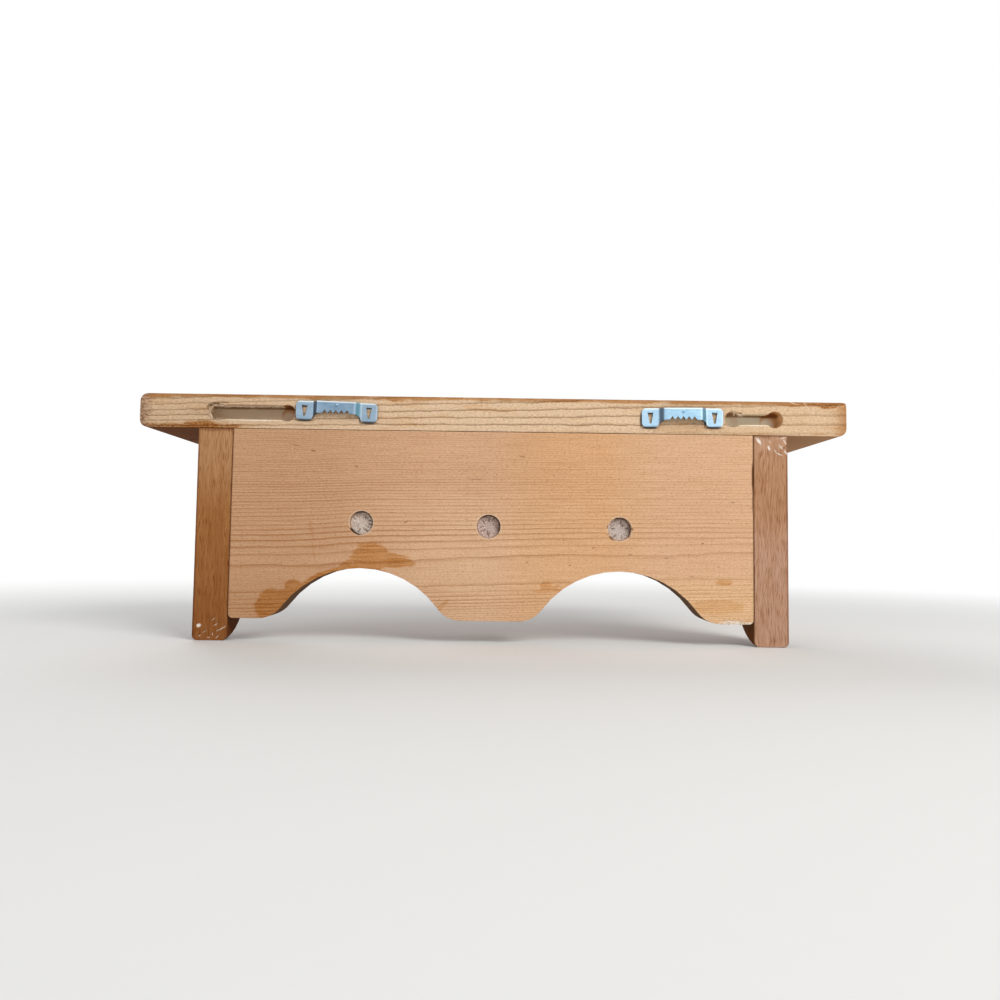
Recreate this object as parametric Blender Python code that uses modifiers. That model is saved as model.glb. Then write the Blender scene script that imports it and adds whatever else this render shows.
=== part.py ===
"""Peg wall shelf in stained pine.

A shelf board sits on two shaped brackets, and a scalloped back panel between the brackets
carries three turned pegs. The shelf hangs by two sawtooth hangers, or by two keyhole slots,
in the rear edge of the shelf board.

Metres, +Z up. The wall is the plane y = 0, the shelf stands out from it towards -Y, and the
origin is the middle of the shelf board's rear edge. Left is -X, as seen from the front.
"""

import math

import bmesh
import bpy
from mathutils import Matrix, Vector

# Shelf board
SHELF_THICKNESS = 0.01905
SHELF_END_OVERHANG = 0.0333
SHELF_FRONT_OVERHANG = 0.03175
SHELF_EDGE_ROUND = 0.0042
SHELF_CORNER_ROUND = 0.009

# Back panel and the two arches in its lower edge
PANEL_LENGTH = 0.2921
PANEL_HEIGHT = 0.1056
PANEL_THICKNESS = 0.01905
PANEL_CORNER_ROUND = 0.003
PANEL_END_FOOT = 0.0176
PANEL_MIDDLE_FOOT = 0.0320
ARCH_RISE = 0.0284
ARCH_FOOT_ROUND = 0.0160
ARCH_OFF_MIDDLE = 0.0010

# Brackets: a round nose at the bottom, a cove above it and a flat nosing under the shelf
BRACKET_THICKNESS = 0.01905
BRACKET_DROP = 0.0124
BRACKET_DEPTH = 0.1016
BRACKET_NOSE_RADIUS = 0.0381
BRACKET_STEP = 0.0040
BRACKET_NOSING = 0.0200
BRACKET_EDGE_ROUND = 0.0026

# Turned pegs
PEG_ABOVE_ARCH = 0.0241
PEG_RISE_LEFT = -0.0005
PEG_RISE_RIGHT = 0.0012
PEG_MIDDLE_ASIDE = 0.0011
PEG_TENON_DIAMETER = 0.0127
PEG_TENON_LENGTH = 0.0160
PEG_TENON_CHAMFER = 0.0006
PEG_PROJECTION = 0.0730
PEG_SHOULDER_DIAMETER = 0.0175
PEG_SHOULDER_LENGTH = 0.0050
PEG_NECK_DIAMETER = 0.0100
PEG_NECK_TO_TIP = 0.0215
PEG_HEAD_DIAMETER = 0.0230
PEG_HEAD_DOME = 0.0075
PEG_HEAD_RIM = 0.0020

# Keyhole slots in the shelf's rear edge, each with a round entry at both ends
KEYHOLE_NECK_WIDTH_LEFT = 0.0062
KEYHOLE_NECK_WIDTH_RIGHT = 0.0079
KEYHOLE_SHOULDER_LEFT = 0.00165
KEYHOLE_SHOULDER_RIGHT = 0.0008
KEYHOLE_UNDERCUT = 0.0015
KEYHOLE_LIP = 0.0050
KEYHOLE_DEPTH = 0.0100
KEYHOLE_FLOOR_STEP = 0.0003
KEYHOLE_BELOW_MIDDLE = 0.0007
KEYHOLE_OUTSET_LEFT = 0.0024
KEYHOLE_LENGTH_LEFT = 0.0234
KEYHOLE_LENGTH_RIGHT = 0.0397

# Sawtooth hangers, stamped from sheet
HANGER_SHEET = 0.0009
HANGER_HEIGHT = 0.0105
HANGER_TAB_WIDTH = 0.0096
HANGER_TAB_ROUND = 0.0024
HANGER_RAMP = 0.0025
HANGER_RISE = 0.0022
HANGER_BRIDGE_HEIGHT = 0.0067
HANGER_TOOTH_PITCH = 0.0031
HANGER_TOOTH_DEPTH = 0.0020
HANGER_TOOTH_COUNT = 5
HANGER_BRIDGE_MARGIN = 0.0030
HANGER_SLIT_INSET = 0.0020
HANGER_SLIT_WIDTH = 0.0034
HANGER_SLIT_POINT = 0.0010
HANGER_PRONG_THICKNESS = 0.0008
HANGER_DIMPLE_RADIUS = 0.0009
HANGER_DIMPLE_HEIGHT = 0.0005
HANGER_DIMPLE_INSET = 0.0020
HANGER_BESIDE_KEYHOLE_LEFT = 0.0013
HANGER_BESIDE_KEYHOLE_RIGHT = 0.0004
HANGER_TILT_LEFT = math.radians(0.6)
HANGER_TILT_RIGHT = math.radians(-1.7)
HANGER_ABOVE_MIDDLE_LEFT = -0.0004
HANGER_ABOVE_MIDDLE_RIGHT = 0.0004

# Hidden dowels
DOWEL_DIAMETER = 0.0080
DOWEL_IN_FACE = 0.0110
DOWEL_IN_EDGE = 0.0140
DOWEL_CHAMFER = 0.0007
BRACKET_DOWEL_FROM_WALL = 0.0300
BRACKET_DOWEL_FROM_NOSING = 0.0300
PANEL_END_DOWEL_FROM_TOP = 0.0150
PANEL_TOP_DOWEL_SPACING = 0.0450

# Clearances
GLUE_GAP = 0.0003
HOLE_CLEARANCE = 0.0003
CUT_OVERRUN = 0.0020

# Smoothness of round shapes
PEG_STEPS = 32
DOWEL_SIDES = 16
ARC_STEP = math.radians(9.0)

# Sizes and places that follow from the values above
UNDERSIDE = -SHELF_THICKNESS / 2
SEAT = UNDERSIDE - GLUE_GAP
BRACKET_INNER = PANEL_LENGTH / 2 + GLUE_GAP
BRACKET_MIDDLE = BRACKET_INNER + BRACKET_THICKNESS / 2
BRACKET_HEIGHT = PANEL_HEIGHT + BRACKET_DROP
SHELF_LENGTH = 2 * (BRACKET_INNER + BRACKET_THICKNESS + SHELF_END_OVERHANG)
SHELF_DEPTH = BRACKET_DEPTH + SHELF_FRONT_OVERHANG
ARCH_HALF_WIDTH = (PANEL_LENGTH / 2 - PANEL_END_FOOT - PANEL_MIDDLE_FOOT / 2) / 2
ARCH_CENTRE = PANEL_MIDDLE_FOOT / 2 + ARCH_HALF_WIDTH
PEG_HEIGHT = SEAT - PANEL_HEIGHT + ARCH_RISE + PEG_ABOVE_ARCH
KEYHOLE_HEIGHT = -KEYHOLE_BELOW_MIDDLE
KEYHOLE_OUTER_END_LEFT = BRACKET_MIDDLE + KEYHOLE_OUTSET_LEFT
KEYHOLE_OUTER_END_RIGHT = BRACKET_MIDDLE
KEYHOLE_INNER_END_LEFT = (
    KEYHOLE_OUTER_END_LEFT - KEYHOLE_LENGTH_LEFT - KEYHOLE_NECK_WIDTH_LEFT / 2 - KEYHOLE_SHOULDER_LEFT)
KEYHOLE_INNER_END_RIGHT = (
    KEYHOLE_OUTER_END_RIGHT - KEYHOLE_LENGTH_RIGHT - KEYHOLE_NECK_WIDTH_RIGHT / 2 - KEYHOLE_SHOULDER_RIGHT)
HANGER_BRIDGE_LENGTH = HANGER_TOOTH_COUNT * HANGER_TOOTH_PITCH + 2 * HANGER_BRIDGE_MARGIN
HANGER_LENGTH = HANGER_BRIDGE_LENGTH + 2 * (HANGER_RAMP + HANGER_TAB_WIDTH)
HANGER_SLIT_HEIGHT = HANGER_HEIGHT - 2 * HANGER_SLIT_INSET
HANGER_PRONG_LENGTH = HANGER_SLIT_HEIGHT - HANGER_SHEET

UPRIGHT = Matrix.Rotation(math.radians(90), 4, 'X')
SIDEWAYS = Matrix.Rotation(math.radians(-90), 4, 'Z') @ UPRIGHT


def clear_scene():
    """Remove every object of the scene."""
    for old in list(bpy.data.objects):
        bpy.data.objects.remove(old, do_unlink=True)


def new_collection(name):
    """A collection linked to the scene."""
    group = bpy.data.collections.new(name)
    bpy.context.scene.collection.children.link(group)
    return group


def new_material(name, colour, roughness, metallic=0.0):
    """A Principled BSDF material of one colour."""
    material = bpy.data.materials.new(name)
    material.use_nodes = True
    shader = material.node_tree.nodes["Principled BSDF"]
    shader.inputs["Base Color"].default_value = (*colour, 1.0)
    shader.inputs["Roughness"].default_value = roughness
    shader.inputs["Metallic"].default_value = metallic
    return material


def arc(centre, radii, start, end):
    """Points on an elliptical arc from one angle to another, both ends included."""
    steps = max(2, math.ceil(abs(end - start) / ARC_STEP))
    angles = [start + (end - start) * step / steps for step in range(steps + 1)]
    return [(centre[0] + radii[0] * math.cos(a), centre[1] + radii[1] * math.sin(a)) for a in angles]


def mirrored(outline):
    """The points of an outline mirrored in the upright axis, in reverse order."""
    return [(-x, y) for x, y in reversed(outline)]


def without_repeats(outline):
    """The outline without points that lie on the one before them."""
    kept = []
    for point in outline:
        if not kept or math.dist(point, kept[-1]) > 1e-6:
            kept.append(point)
    if math.dist(kept[0], kept[-1]) < 1e-6:
        kept.pop()
    return kept


def flat_mesh(name, outlines, thickness):
    """Flat outlines in the XY plane, thickened evenly along Z, as one closed mesh."""
    curve = bpy.data.curves.new(name, 'CURVE')
    curve.dimensions = '2D'
    curve.fill_mode = 'BOTH'
    curve.extrude = thickness / 2
    for outline in outlines:
        points = without_repeats(outline)
        spline = curve.splines.new('POLY')
        spline.points.add(len(points) - 1)
        for place, (x, y) in zip(spline.points, points):
            place.co = (x, y, 0.0, 1.0)
        spline.use_cyclic_u = True
    guide = bpy.data.objects.new(name, curve)
    bpy.context.scene.collection.objects.link(guide)
    evaluated = guide.evaluated_get(bpy.context.evaluated_depsgraph_get())
    mesh = bpy.data.meshes.new_from_object(evaluated)
    bpy.data.objects.remove(guide, do_unlink=True)
    bpy.data.curves.remove(curve)

    body = bmesh.new()
    body.from_mesh(mesh)
    bmesh.ops.remove_doubles(body, verts=body.verts, dist=1e-6)
    bmesh.ops.dissolve_limit(body, angle_limit=math.radians(0.5), verts=body.verts, edges=body.edges)
    bmesh.ops.recalc_face_normals(body, faces=body.faces)
    body.to_mesh(mesh)
    body.free()
    mesh.name = name
    return mesh


def round_edges(mesh, choose, radius, segments):
    """Round the sharp edges whose two end points the choose function accepts."""
    body = bmesh.new()
    body.from_mesh(mesh)
    edges = [
        edge for edge in body.edges
        if len(edge.link_faces) == 2
        and edge.calc_face_angle() > math.radians(60)
        and choose(edge.verts[0].co, edge.verts[1].co)
    ]
    bmesh.ops.bevel(body, geom=edges, offset=radius, segments=segments, profile=0.5, affect='EDGES')
    body.to_mesh(mesh)
    body.free()


def add_piece(name, mesh, material, place=None):
    """An object for one piece of the shelf, parented to the shelf's empty."""
    piece = bpy.data.objects.new(name, mesh)
    piece.parent = assembly
    piece.matrix_world = place or Matrix.Identity(4)
    if not mesh.materials:
        mesh.materials.append(material)
    mesh.shade_smooth()
    mesh.set_sharp_from_angle(angle=math.radians(35))
    parts.objects.link(piece)
    return piece


def add_cutter(name, mesh, place=None):
    """A guide object that only shapes other pieces."""
    cutter = bpy.data.objects.new(name, mesh)
    cutter.matrix_world = place or Matrix.Identity(4)
    cutter.hide_render = True
    cutter.display_type = 'WIRE'
    cutters.objects.link(cutter)
    return cutter


def combine(piece, other, operation):
    """Cut, join or intersect a piece with another object."""
    modifier = piece.modifiers.new(f"{operation.lower()} {other.name}", 'BOOLEAN')
    modifier.operation = operation
    modifier.solver = 'EXACT'
    modifier.object = other


def rod_mesh(name, radius, length, sides, chamfer=0.0):
    """A rod along Z, centred on the origin, with chamfered ends if asked."""
    body = bmesh.new()
    bmesh.ops.create_cone(
        body, cap_ends=True, segments=sides, radius1=radius, radius2=radius, depth=length)
    if chamfer:
        rims = [edge for edge in body.edges if abs(edge.verts[0].co.z - edge.verts[1].co.z) < 1e-6]
        bmesh.ops.bevel(body, geom=rims, offset=chamfer, segments=1, profile=0.5, affect='EDGES')
    mesh = bpy.data.meshes.new(name)
    body.to_mesh(mesh)
    body.free()
    return mesh


def along(start, end):
    """The placement that lays a rod centred on the origin between two points."""
    start = Vector(start)
    end = Vector(end)
    turn = (end - start).to_track_quat('Z', 'Y').to_matrix().to_4x4()
    return Matrix.Translation((start + end) / 2) @ turn


def make_shelf_board():
    """The top board: square at the wall, rounded over at the front and the ends."""
    half_length = SHELF_LENGTH / 2
    half_thickness = SHELF_THICKNESS / 2
    body = bmesh.new()
    bmesh.ops.create_cube(body, size=1.0)
    bmesh.ops.scale(body, vec=(SHELF_LENGTH, SHELF_DEPTH, SHELF_THICKNESS), verts=body.verts)
    bmesh.ops.translate(body, vec=(0, -SHELF_DEPTH / 2, 0), verts=body.verts)
    mesh = bpy.data.meshes.new("shelf_board")
    body.to_mesh(mesh)
    body.free()

    def front_corner(a, b):
        upright = abs(a.z - b.z) > half_thickness
        return upright and a.y < -SHELF_DEPTH / 2 and abs(a.x) > half_length / 2

    def front_or_end(a, b):
        level = abs(a.z - b.z) < 1e-6
        at_wall = a.y > -1e-6 and b.y > -1e-6
        return level and not at_wall

    round_edges(mesh, front_corner, SHELF_CORNER_ROUND, 6)
    round_edges(mesh, front_or_end, min(SHELF_EDGE_ROUND, 0.45 * SHELF_THICKNESS), 4)
    return add_piece("shelf_board", mesh, stained_pine)


def arch_outline(centre):
    """One arch of the panel's lower edge, from its left foot to its right one.

    A crown arc meets a round foot on each side. Both arcs are tangent to each other, to the arch's
    top and to the foot's flat, which fixes the crown's radius.
    """
    both_radii = (ARCH_RISE ** 2 + ARCH_HALF_WIDTH ** 2) / (2 * ARCH_RISE)
    crown_radius = both_radii - ARCH_FOOT_ROUND
    lean = math.asin(ARCH_HALF_WIDTH / both_radii)
    bottom = -PANEL_HEIGHT
    upright = math.radians(90)
    foot_radii = (ARCH_FOOT_ROUND, ARCH_FOOT_ROUND)
    near_foot = arc(
        (centre - ARCH_HALF_WIDTH, bottom + ARCH_FOOT_ROUND), foot_radii, -upright, -upright + lean)
    crown = arc(
        (centre, bottom + ARCH_RISE - crown_radius),
        (crown_radius, crown_radius), upright + lean, upright - lean)
    far_foot = arc(
        (centre + ARCH_HALF_WIDTH, bottom + ARCH_FOOT_ROUND), foot_radii, -upright - lean, -upright)
    return near_foot + crown + far_foot


def panel_outline():
    """The panel's front view: a rectangle with two arches in its lower edge."""
    corner = arc(
        (PANEL_LENGTH / 2 - PANEL_CORNER_ROUND, PANEL_CORNER_ROUND - PANEL_HEIGHT),
        (PANEL_CORNER_ROUND, PANEL_CORNER_ROUND), -math.radians(90), 0)
    end = corner + [(PANEL_LENGTH / 2, 0)]
    arches = arch_outline(ARCH_OFF_MIDDLE - ARCH_CENTRE) + arch_outline(ARCH_OFF_MIDDLE + ARCH_CENTRE)
    return mirrored(end) + arches + end


def make_back_panel():
    """The scalloped board between the brackets, flush with their rear edges."""
    mesh = flat_mesh("back_panel", [panel_outline()], PANEL_THICKNESS)
    place = Matrix.Translation((0, -PANEL_THICKNESS / 2, SEAT)) @ UPRIGHT
    return add_piece("back_panel", mesh, pale_pine, place)


def bracket_outline():
    """A bracket's side view: x is the distance from the wall, y is the height over its seat.

    From the bottom of the rear edge a round nose turns up, a small step leads to an elliptical
    cove, and the cove ends in a flat nosing under the shelf.
    """
    bottom = -BRACKET_HEIGHT
    upright = math.radians(90)
    nose = arc(
        (0, bottom + BRACKET_NOSE_RADIUS), (BRACKET_NOSE_RADIUS, BRACKET_NOSE_RADIUS), -upright, 0)
    cove_start = BRACKET_NOSE_RADIUS + BRACKET_STEP
    cove_low = bottom + BRACKET_NOSE_RADIUS
    cove = arc(
        (BRACKET_DEPTH, cove_low),
        (BRACKET_DEPTH - cove_start, -BRACKET_NOSING - cove_low), 2 * upright, upright)
    return [(0, 0)] + nose + cove + [(BRACKET_DEPTH, 0)]


def make_bracket(name, side):
    """One side bracket, its profiled edge rounded over on both faces."""
    mesh = flat_mesh(name, [bracket_outline()], BRACKET_THICKNESS)

    def profiled(a, b):
        on_face = abs(a.z - b.z) < 1e-6
        at_wall = a.x < 1e-6 and b.x < 1e-6
        at_seat = a.y > -1e-6 and b.y > -1e-6
        return on_face and not at_wall and not at_seat

    round_edges(mesh, profiled, BRACKET_EDGE_ROUND, 3)
    place = Matrix.Translation((side * BRACKET_MIDDLE, 0, SEAT)) @ SIDEWAYS
    return add_piece(name, mesh, dark_pine, place)


def peg_profile():
    """A peg's half section from the tip of its head to the end of its tenon: radius, height.

    Height 0 is the seat of the shoulder on the panel's front face.
    """
    quarter = math.radians(90)
    head = PEG_HEAD_DIAMETER / 2
    neck = PEG_NECK_DIAMETER / 2
    shoulder = PEG_SHOULDER_DIAMETER / 2
    tenon = PEG_TENON_DIAMETER / 2
    rim_top = PEG_PROJECTION - PEG_HEAD_DOME
    rim_bottom = rim_top - PEG_HEAD_RIM
    neck_height = PEG_PROJECTION - PEG_NECK_TO_TIP

    dome = arc((0, rim_top), (head, PEG_HEAD_DOME), quarter, 0)
    flare = arc((head, neck_height), (head - neck, rim_bottom - neck_height), quarter, 2 * quarter)
    shank = [
        ((shoulder + neck) / 2, PEG_SHOULDER_LENGTH + (neck_height - PEG_SHOULDER_LENGTH) / 2),
        (shoulder, PEG_SHOULDER_LENGTH),
        (shoulder, 0),
    ]
    tenon_end = -GLUE_GAP - PEG_TENON_LENGTH
    peg_end = [
        (tenon, 0),
        (tenon, tenon_end + PEG_TENON_CHAMFER),
        (tenon - PEG_TENON_CHAMFER, tenon_end),
        (0, tenon_end),
    ]
    return without_repeats(dome + flare + shank + peg_end)


def make_peg(name, x, z):
    """One turned peg: its tenon in the panel, its shoulder on the panel's front face."""
    profile = peg_profile()
    mesh = bpy.data.meshes.new(name)
    edges = [(i, i + 1) for i in range(len(profile) - 1)]
    mesh.from_pydata([(radius, 0, height) for radius, height in profile], edges, [])
    place = Matrix.Translation((x, -PANEL_THICKNESS - GLUE_GAP, z)) @ UPRIGHT
    peg = add_piece(name, mesh, turned_birch, place)
    turn = peg.modifiers.new("turning", 'SCREW')
    turn.axis = 'Z'
    turn.steps = PEG_STEPS
    turn.render_steps = PEG_STEPS
    turn.use_merge_vertices = True
    turn.merge_threshold = 0.00001
    turn.use_smooth_shade = True
    return peg


def keyhole_mouth(length, neck_width, shoulder):
    """The front view of a keyhole slot: a neck that ends in a wider round entry at both ends."""
    radius = neck_width / 2 + shoulder
    open_angle = math.asin(neck_width / 2 / radius)
    entry = arc((length / 2, 0), (radius, radius), -math.pi + open_angle, math.pi - open_angle)
    return entry + [(-x, -y) for x, y in entry]


def keyhole_channel(length, neck_width):
    """The front view of the undercut behind a slot's neck: a long hole with round ends."""
    radius = neck_width / 2 + KEYHOLE_UNDERCUT
    quarter = math.radians(90)
    end = arc((length / 2, 0), (radius, radius), -quarter, quarter)
    return end + [(-x, -y) for x, y in end]


def cut_keyhole(shelf, name, side, outer_end, length, neck_width, shoulder):
    """Rout one keyhole slot, its outer entry over the bracket."""
    middle = side * (outer_end - length / 2)
    mouth_depth = KEYHOLE_DEPTH + CUT_OVERRUN
    mouth = flat_mesh(f"{name}_mouth", [keyhole_mouth(length, neck_width, shoulder)], mouth_depth)
    mouth_place = Matrix.Translation((middle, CUT_OVERRUN - mouth_depth / 2, KEYHOLE_HEIGHT))
    channel_depth = KEYHOLE_DEPTH - KEYHOLE_LIP - KEYHOLE_FLOOR_STEP
    channel = flat_mesh(f"{name}_channel", [keyhole_channel(length, neck_width)], channel_depth)
    channel_place = Matrix.Translation((middle, -KEYHOLE_LIP - channel_depth / 2, KEYHOLE_HEIGHT))
    combine(shelf, add_cutter(f"{name}_mouth", mouth, mouth_place @ UPRIGHT), 'DIFFERENCE')
    combine(shelf, add_cutter(f"{name}_channel", channel, channel_place @ UPRIGHT), 'DIFFERENCE')


def hanger_side_outline():
    """A hanger's strip seen from above: a raised bridge between two tabs, left long at both ends."""
    bend = HANGER_BRIDGE_LENGTH / 2
    foot = bend + HANGER_RAMP
    end = HANGER_LENGTH / 2 + CUT_OVERRUN
    top = HANGER_RISE + HANGER_SHEET
    half = [(bend, top), (foot, HANGER_SHEET), (end, HANGER_SHEET)]
    under = [(end, 0), (foot, 0), (bend, HANGER_RISE)]
    return mirrored(half) + half + under + mirrored(under)


def hanger_front_outline():
    """A hanger seen from behind the shelf: round-cornered tabs and a toothed bridge."""
    quarter = math.radians(90)
    top = HANGER_HEIGHT / 2
    end = HANGER_LENGTH / 2
    low = top - HANGER_BRIDGE_HEIGHT
    bend = HANGER_BRIDGE_LENGTH / 2
    inner = end - HANGER_TAB_WIDTH
    turn = HANGER_TAB_ROUND
    upper_corner = arc((end - turn, top - turn), (turn, turn), quarter, 0)
    lower_corner = arc((end - turn, -top + turn), (turn, turn), 0, -quarter)
    inner_corner = arc((inner + turn, -top + turn), (turn, turn), -quarter, -2 * quarter)
    right = upper_corner + lower_corner + inner_corner + [(bend, low)]
    first_tooth = HANGER_TOOTH_COUNT * HANGER_TOOTH_PITCH / 2
    teeth = []
    for notch in range(HANGER_TOOTH_COUNT):
        tip = first_tooth - notch * HANGER_TOOTH_PITCH
        teeth.append((tip, low))
        teeth.append((tip - HANGER_TOOTH_PITCH / 2, low + HANGER_TOOTH_DEPTH))
    teeth.append((-first_tooth, low))
    return right + teeth + mirrored(right)


def hanger_slit_outline(x):
    """The tapered opening that a prong leaves in a tab."""
    top = HANGER_HEIGHT / 2 - HANGER_SLIT_INSET
    low = top - HANGER_SLIT_HEIGHT
    wide = HANGER_SLIT_WIDTH / 2
    narrow = HANGER_SLIT_POINT / 2
    return [(x - wide, top), (x + wide, top), (x + narrow, low), (x - narrow, low)]


def prong_outline():
    """A prong seen from above: it tapers from the tab into the wood."""
    wide = HANGER_SLIT_WIDTH / 2
    narrow = HANGER_SLIT_POINT / 2
    root = HANGER_SHEET / 2
    return [(-wide, root), (wide, root), (narrow, -HANGER_PRONG_LENGTH), (-narrow, -HANGER_PRONG_LENGTH)]


def make_hanger(shelf, name, side, keyhole_end, beside_keyhole, above_middle, tilt):
    """One stamped hanger beside a keyhole slot, with a prong from each tab driven into the shelf."""
    middle = side * (keyhole_end - beside_keyhole - HANGER_LENGTH / 2)
    tab_middle = (HANGER_LENGTH - HANGER_TAB_WIDTH) / 2
    prong_height = HANGER_HEIGHT / 2 - HANGER_SLIT_INSET + HANGER_SHEET / 2
    base = (
        Matrix.Translation((middle, GLUE_GAP, above_middle))
        @ Matrix.Rotation(tilt, 4, 'Y'))

    strip = flat_mesh(name, [hanger_side_outline()], HANGER_HEIGHT + 2 * CUT_OVERRUN)
    hanger = add_piece(name, strip, zinc_steel, base)
    blank = flat_mesh(
        f"{name}_blank",
        [hanger_front_outline(), hanger_slit_outline(tab_middle), hanger_slit_outline(-tab_middle)],
        2 * (HANGER_RISE + HANGER_SHEET + CUT_OVERRUN))
    combine(hanger, add_cutter(f"{name}_blank", blank, base @ UPRIGHT), 'INTERSECT')

    for end in (-1, 1):
        tag = "left" if end < 0 else "right"
        prong = flat_mesh(f"{name}_prong_{tag}", [prong_outline()], HANGER_PRONG_THICKNESS)
        prong_place = base @ Matrix.Translation((end * tab_middle, 0, prong_height))
        combine(hanger, add_cutter(f"{name}_prong_{tag}", prong, prong_place), 'UNION')

        slot_size = (
            HANGER_SLIT_WIDTH + 2 * HOLE_CLEARANCE,
            HANGER_PRONG_LENGTH + HOLE_CLEARANCE + CUT_OVERRUN,
            HANGER_PRONG_THICKNESS + 2 * HOLE_CLEARANCE)
        body = bmesh.new()
        bmesh.ops.create_cube(body, size=1.0)
        bmesh.ops.scale(body, vec=slot_size, verts=body.verts)
        bmesh.ops.translate(body, vec=(0, CUT_OVERRUN - slot_size[1] / 2, 0), verts=body.verts)
        slot = bpy.data.meshes.new(f"{name}_slot_{tag}")
        body.to_mesh(slot)
        body.free()
        combine(shelf, add_cutter(f"{name}_slot_{tag}", slot, prong_place), 'DIFFERENCE')

    dimple = bpy.data.meshes.new(f"{name}_dimple")
    body = bmesh.new()
    bmesh.ops.create_cone(
        body, cap_ends=True, segments=8, radius1=HANGER_DIMPLE_RADIUS,
        radius2=HANGER_DIMPLE_RADIUS / 2, depth=HANGER_DIMPLE_HEIGHT + HANGER_SHEET / 2)
    body.to_mesh(dimple)
    body.free()
    dimple_middle = HANGER_RISE + HANGER_SHEET * 0.75 + HANGER_DIMPLE_HEIGHT / 2
    dimple_place = base @ Matrix.Translation(
        (0, dimple_middle, HANGER_HEIGHT / 2 - HANGER_DIMPLE_INSET)) @ UPRIGHT.inverted()
    combine(hanger, add_cutter(f"{name}_dimple", dimple, dimple_place), 'UNION')
    return hanger


def add_dowel(name, joint, direction, face_board, edge_board):
    """One dowel across a glued joint, and its hole in each board.

    The direction points from the joint into the board that is bored through its face; the
    other board is bored in its edge.
    """
    joint = Vector(joint)
    direction = Vector(direction)
    face_end = joint + direction * DOWEL_IN_FACE
    edge_end = joint - direction * DOWEL_IN_EDGE
    length = DOWEL_IN_FACE + DOWEL_IN_EDGE
    dowel = rod_mesh(name, DOWEL_DIAMETER / 2, length, DOWEL_SIDES, DOWEL_CHAMFER)
    add_piece(name, dowel, plain_beech, along(edge_end, face_end))
    bore = rod_mesh(
        f"{name}_bore", DOWEL_DIAMETER / 2 + HOLE_CLEARANCE, length + 2 * HOLE_CLEARANCE, DOWEL_SIDES)
    cutter = add_cutter(f"{name}_bore", bore, along(edge_end, face_end))
    combine(face_board, cutter, 'DIFFERENCE')
    combine(edge_board, cutter, 'DIFFERENCE')


def bore_peg_hole(panel, name, x, z):
    """A peg's hole right through the panel."""
    radius = PEG_TENON_DIAMETER / 2 + HOLE_CLEARANCE
    start = (x, CUT_OVERRUN, z)
    end = (x, -PANEL_THICKNESS - CUT_OVERRUN, z)
    length = PANEL_THICKNESS + 2 * CUT_OVERRUN
    bore = rod_mesh(f"{name}_bore", radius, length, PEG_STEPS)
    combine(panel, add_cutter(f"{name}_bore", bore, along(start, end)), 'DIFFERENCE')


clear_scene()
parts = new_collection("peg_wall_shelf")
cutters = new_collection("peg_wall_shelf_cutters")
assembly = bpy.data.objects.new("peg_wall_shelf_origin", None)
parts.objects.link(assembly)

stained_pine = new_material("stained_pine", (0.65, 0.46, 0.30), 0.50)
pale_pine = new_material("pale_pine", (0.60, 0.35, 0.20), 0.60)
dark_pine = new_material("dark_pine", (0.32, 0.15, 0.06), 0.50)
turned_birch = new_material("turned_birch", (0.40, 0.28, 0.21), 0.50)
plain_beech = new_material("plain_beech", (0.60, 0.44, 0.28), 0.60)
zinc_steel = new_material("zinc_steel", (0.40, 0.60, 0.75), 0.35, 0.8)

shelf_board = make_shelf_board()
back_panel = make_back_panel()
brackets = {"left": make_bracket("bracket_left", -1), "right": make_bracket("bracket_right", 1)}

peg_places = (
    ("peg_left", ARCH_OFF_MIDDLE - ARCH_CENTRE, PEG_HEIGHT + PEG_RISE_LEFT),
    ("peg_middle", ARCH_OFF_MIDDLE + PEG_MIDDLE_ASIDE, PEG_HEIGHT),
    ("peg_right", ARCH_OFF_MIDDLE + ARCH_CENTRE, PEG_HEIGHT + PEG_RISE_RIGHT),
)
for peg_name, peg_x, peg_z in peg_places:
    make_peg(peg_name, peg_x, peg_z)
    bore_peg_hole(back_panel, peg_name, peg_x, peg_z)

cut_keyhole(
    shelf_board, "keyhole_left", -1, KEYHOLE_OUTER_END_LEFT,
    KEYHOLE_LENGTH_LEFT, KEYHOLE_NECK_WIDTH_LEFT, KEYHOLE_SHOULDER_LEFT)
cut_keyhole(
    shelf_board, "keyhole_right", 1, KEYHOLE_OUTER_END_RIGHT,
    KEYHOLE_LENGTH_RIGHT, KEYHOLE_NECK_WIDTH_RIGHT, KEYHOLE_SHOULDER_RIGHT)
make_hanger(
    shelf_board, "hanger_left", -1, KEYHOLE_INNER_END_LEFT, HANGER_BESIDE_KEYHOLE_LEFT,
    HANGER_ABOVE_MIDDLE_LEFT, HANGER_TILT_LEFT)
make_hanger(
    shelf_board, "hanger_right", 1, KEYHOLE_INNER_END_RIGHT, HANGER_BESIDE_KEYHOLE_RIGHT,
    HANGER_ABOVE_MIDDLE_RIGHT, HANGER_TILT_RIGHT)

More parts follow.
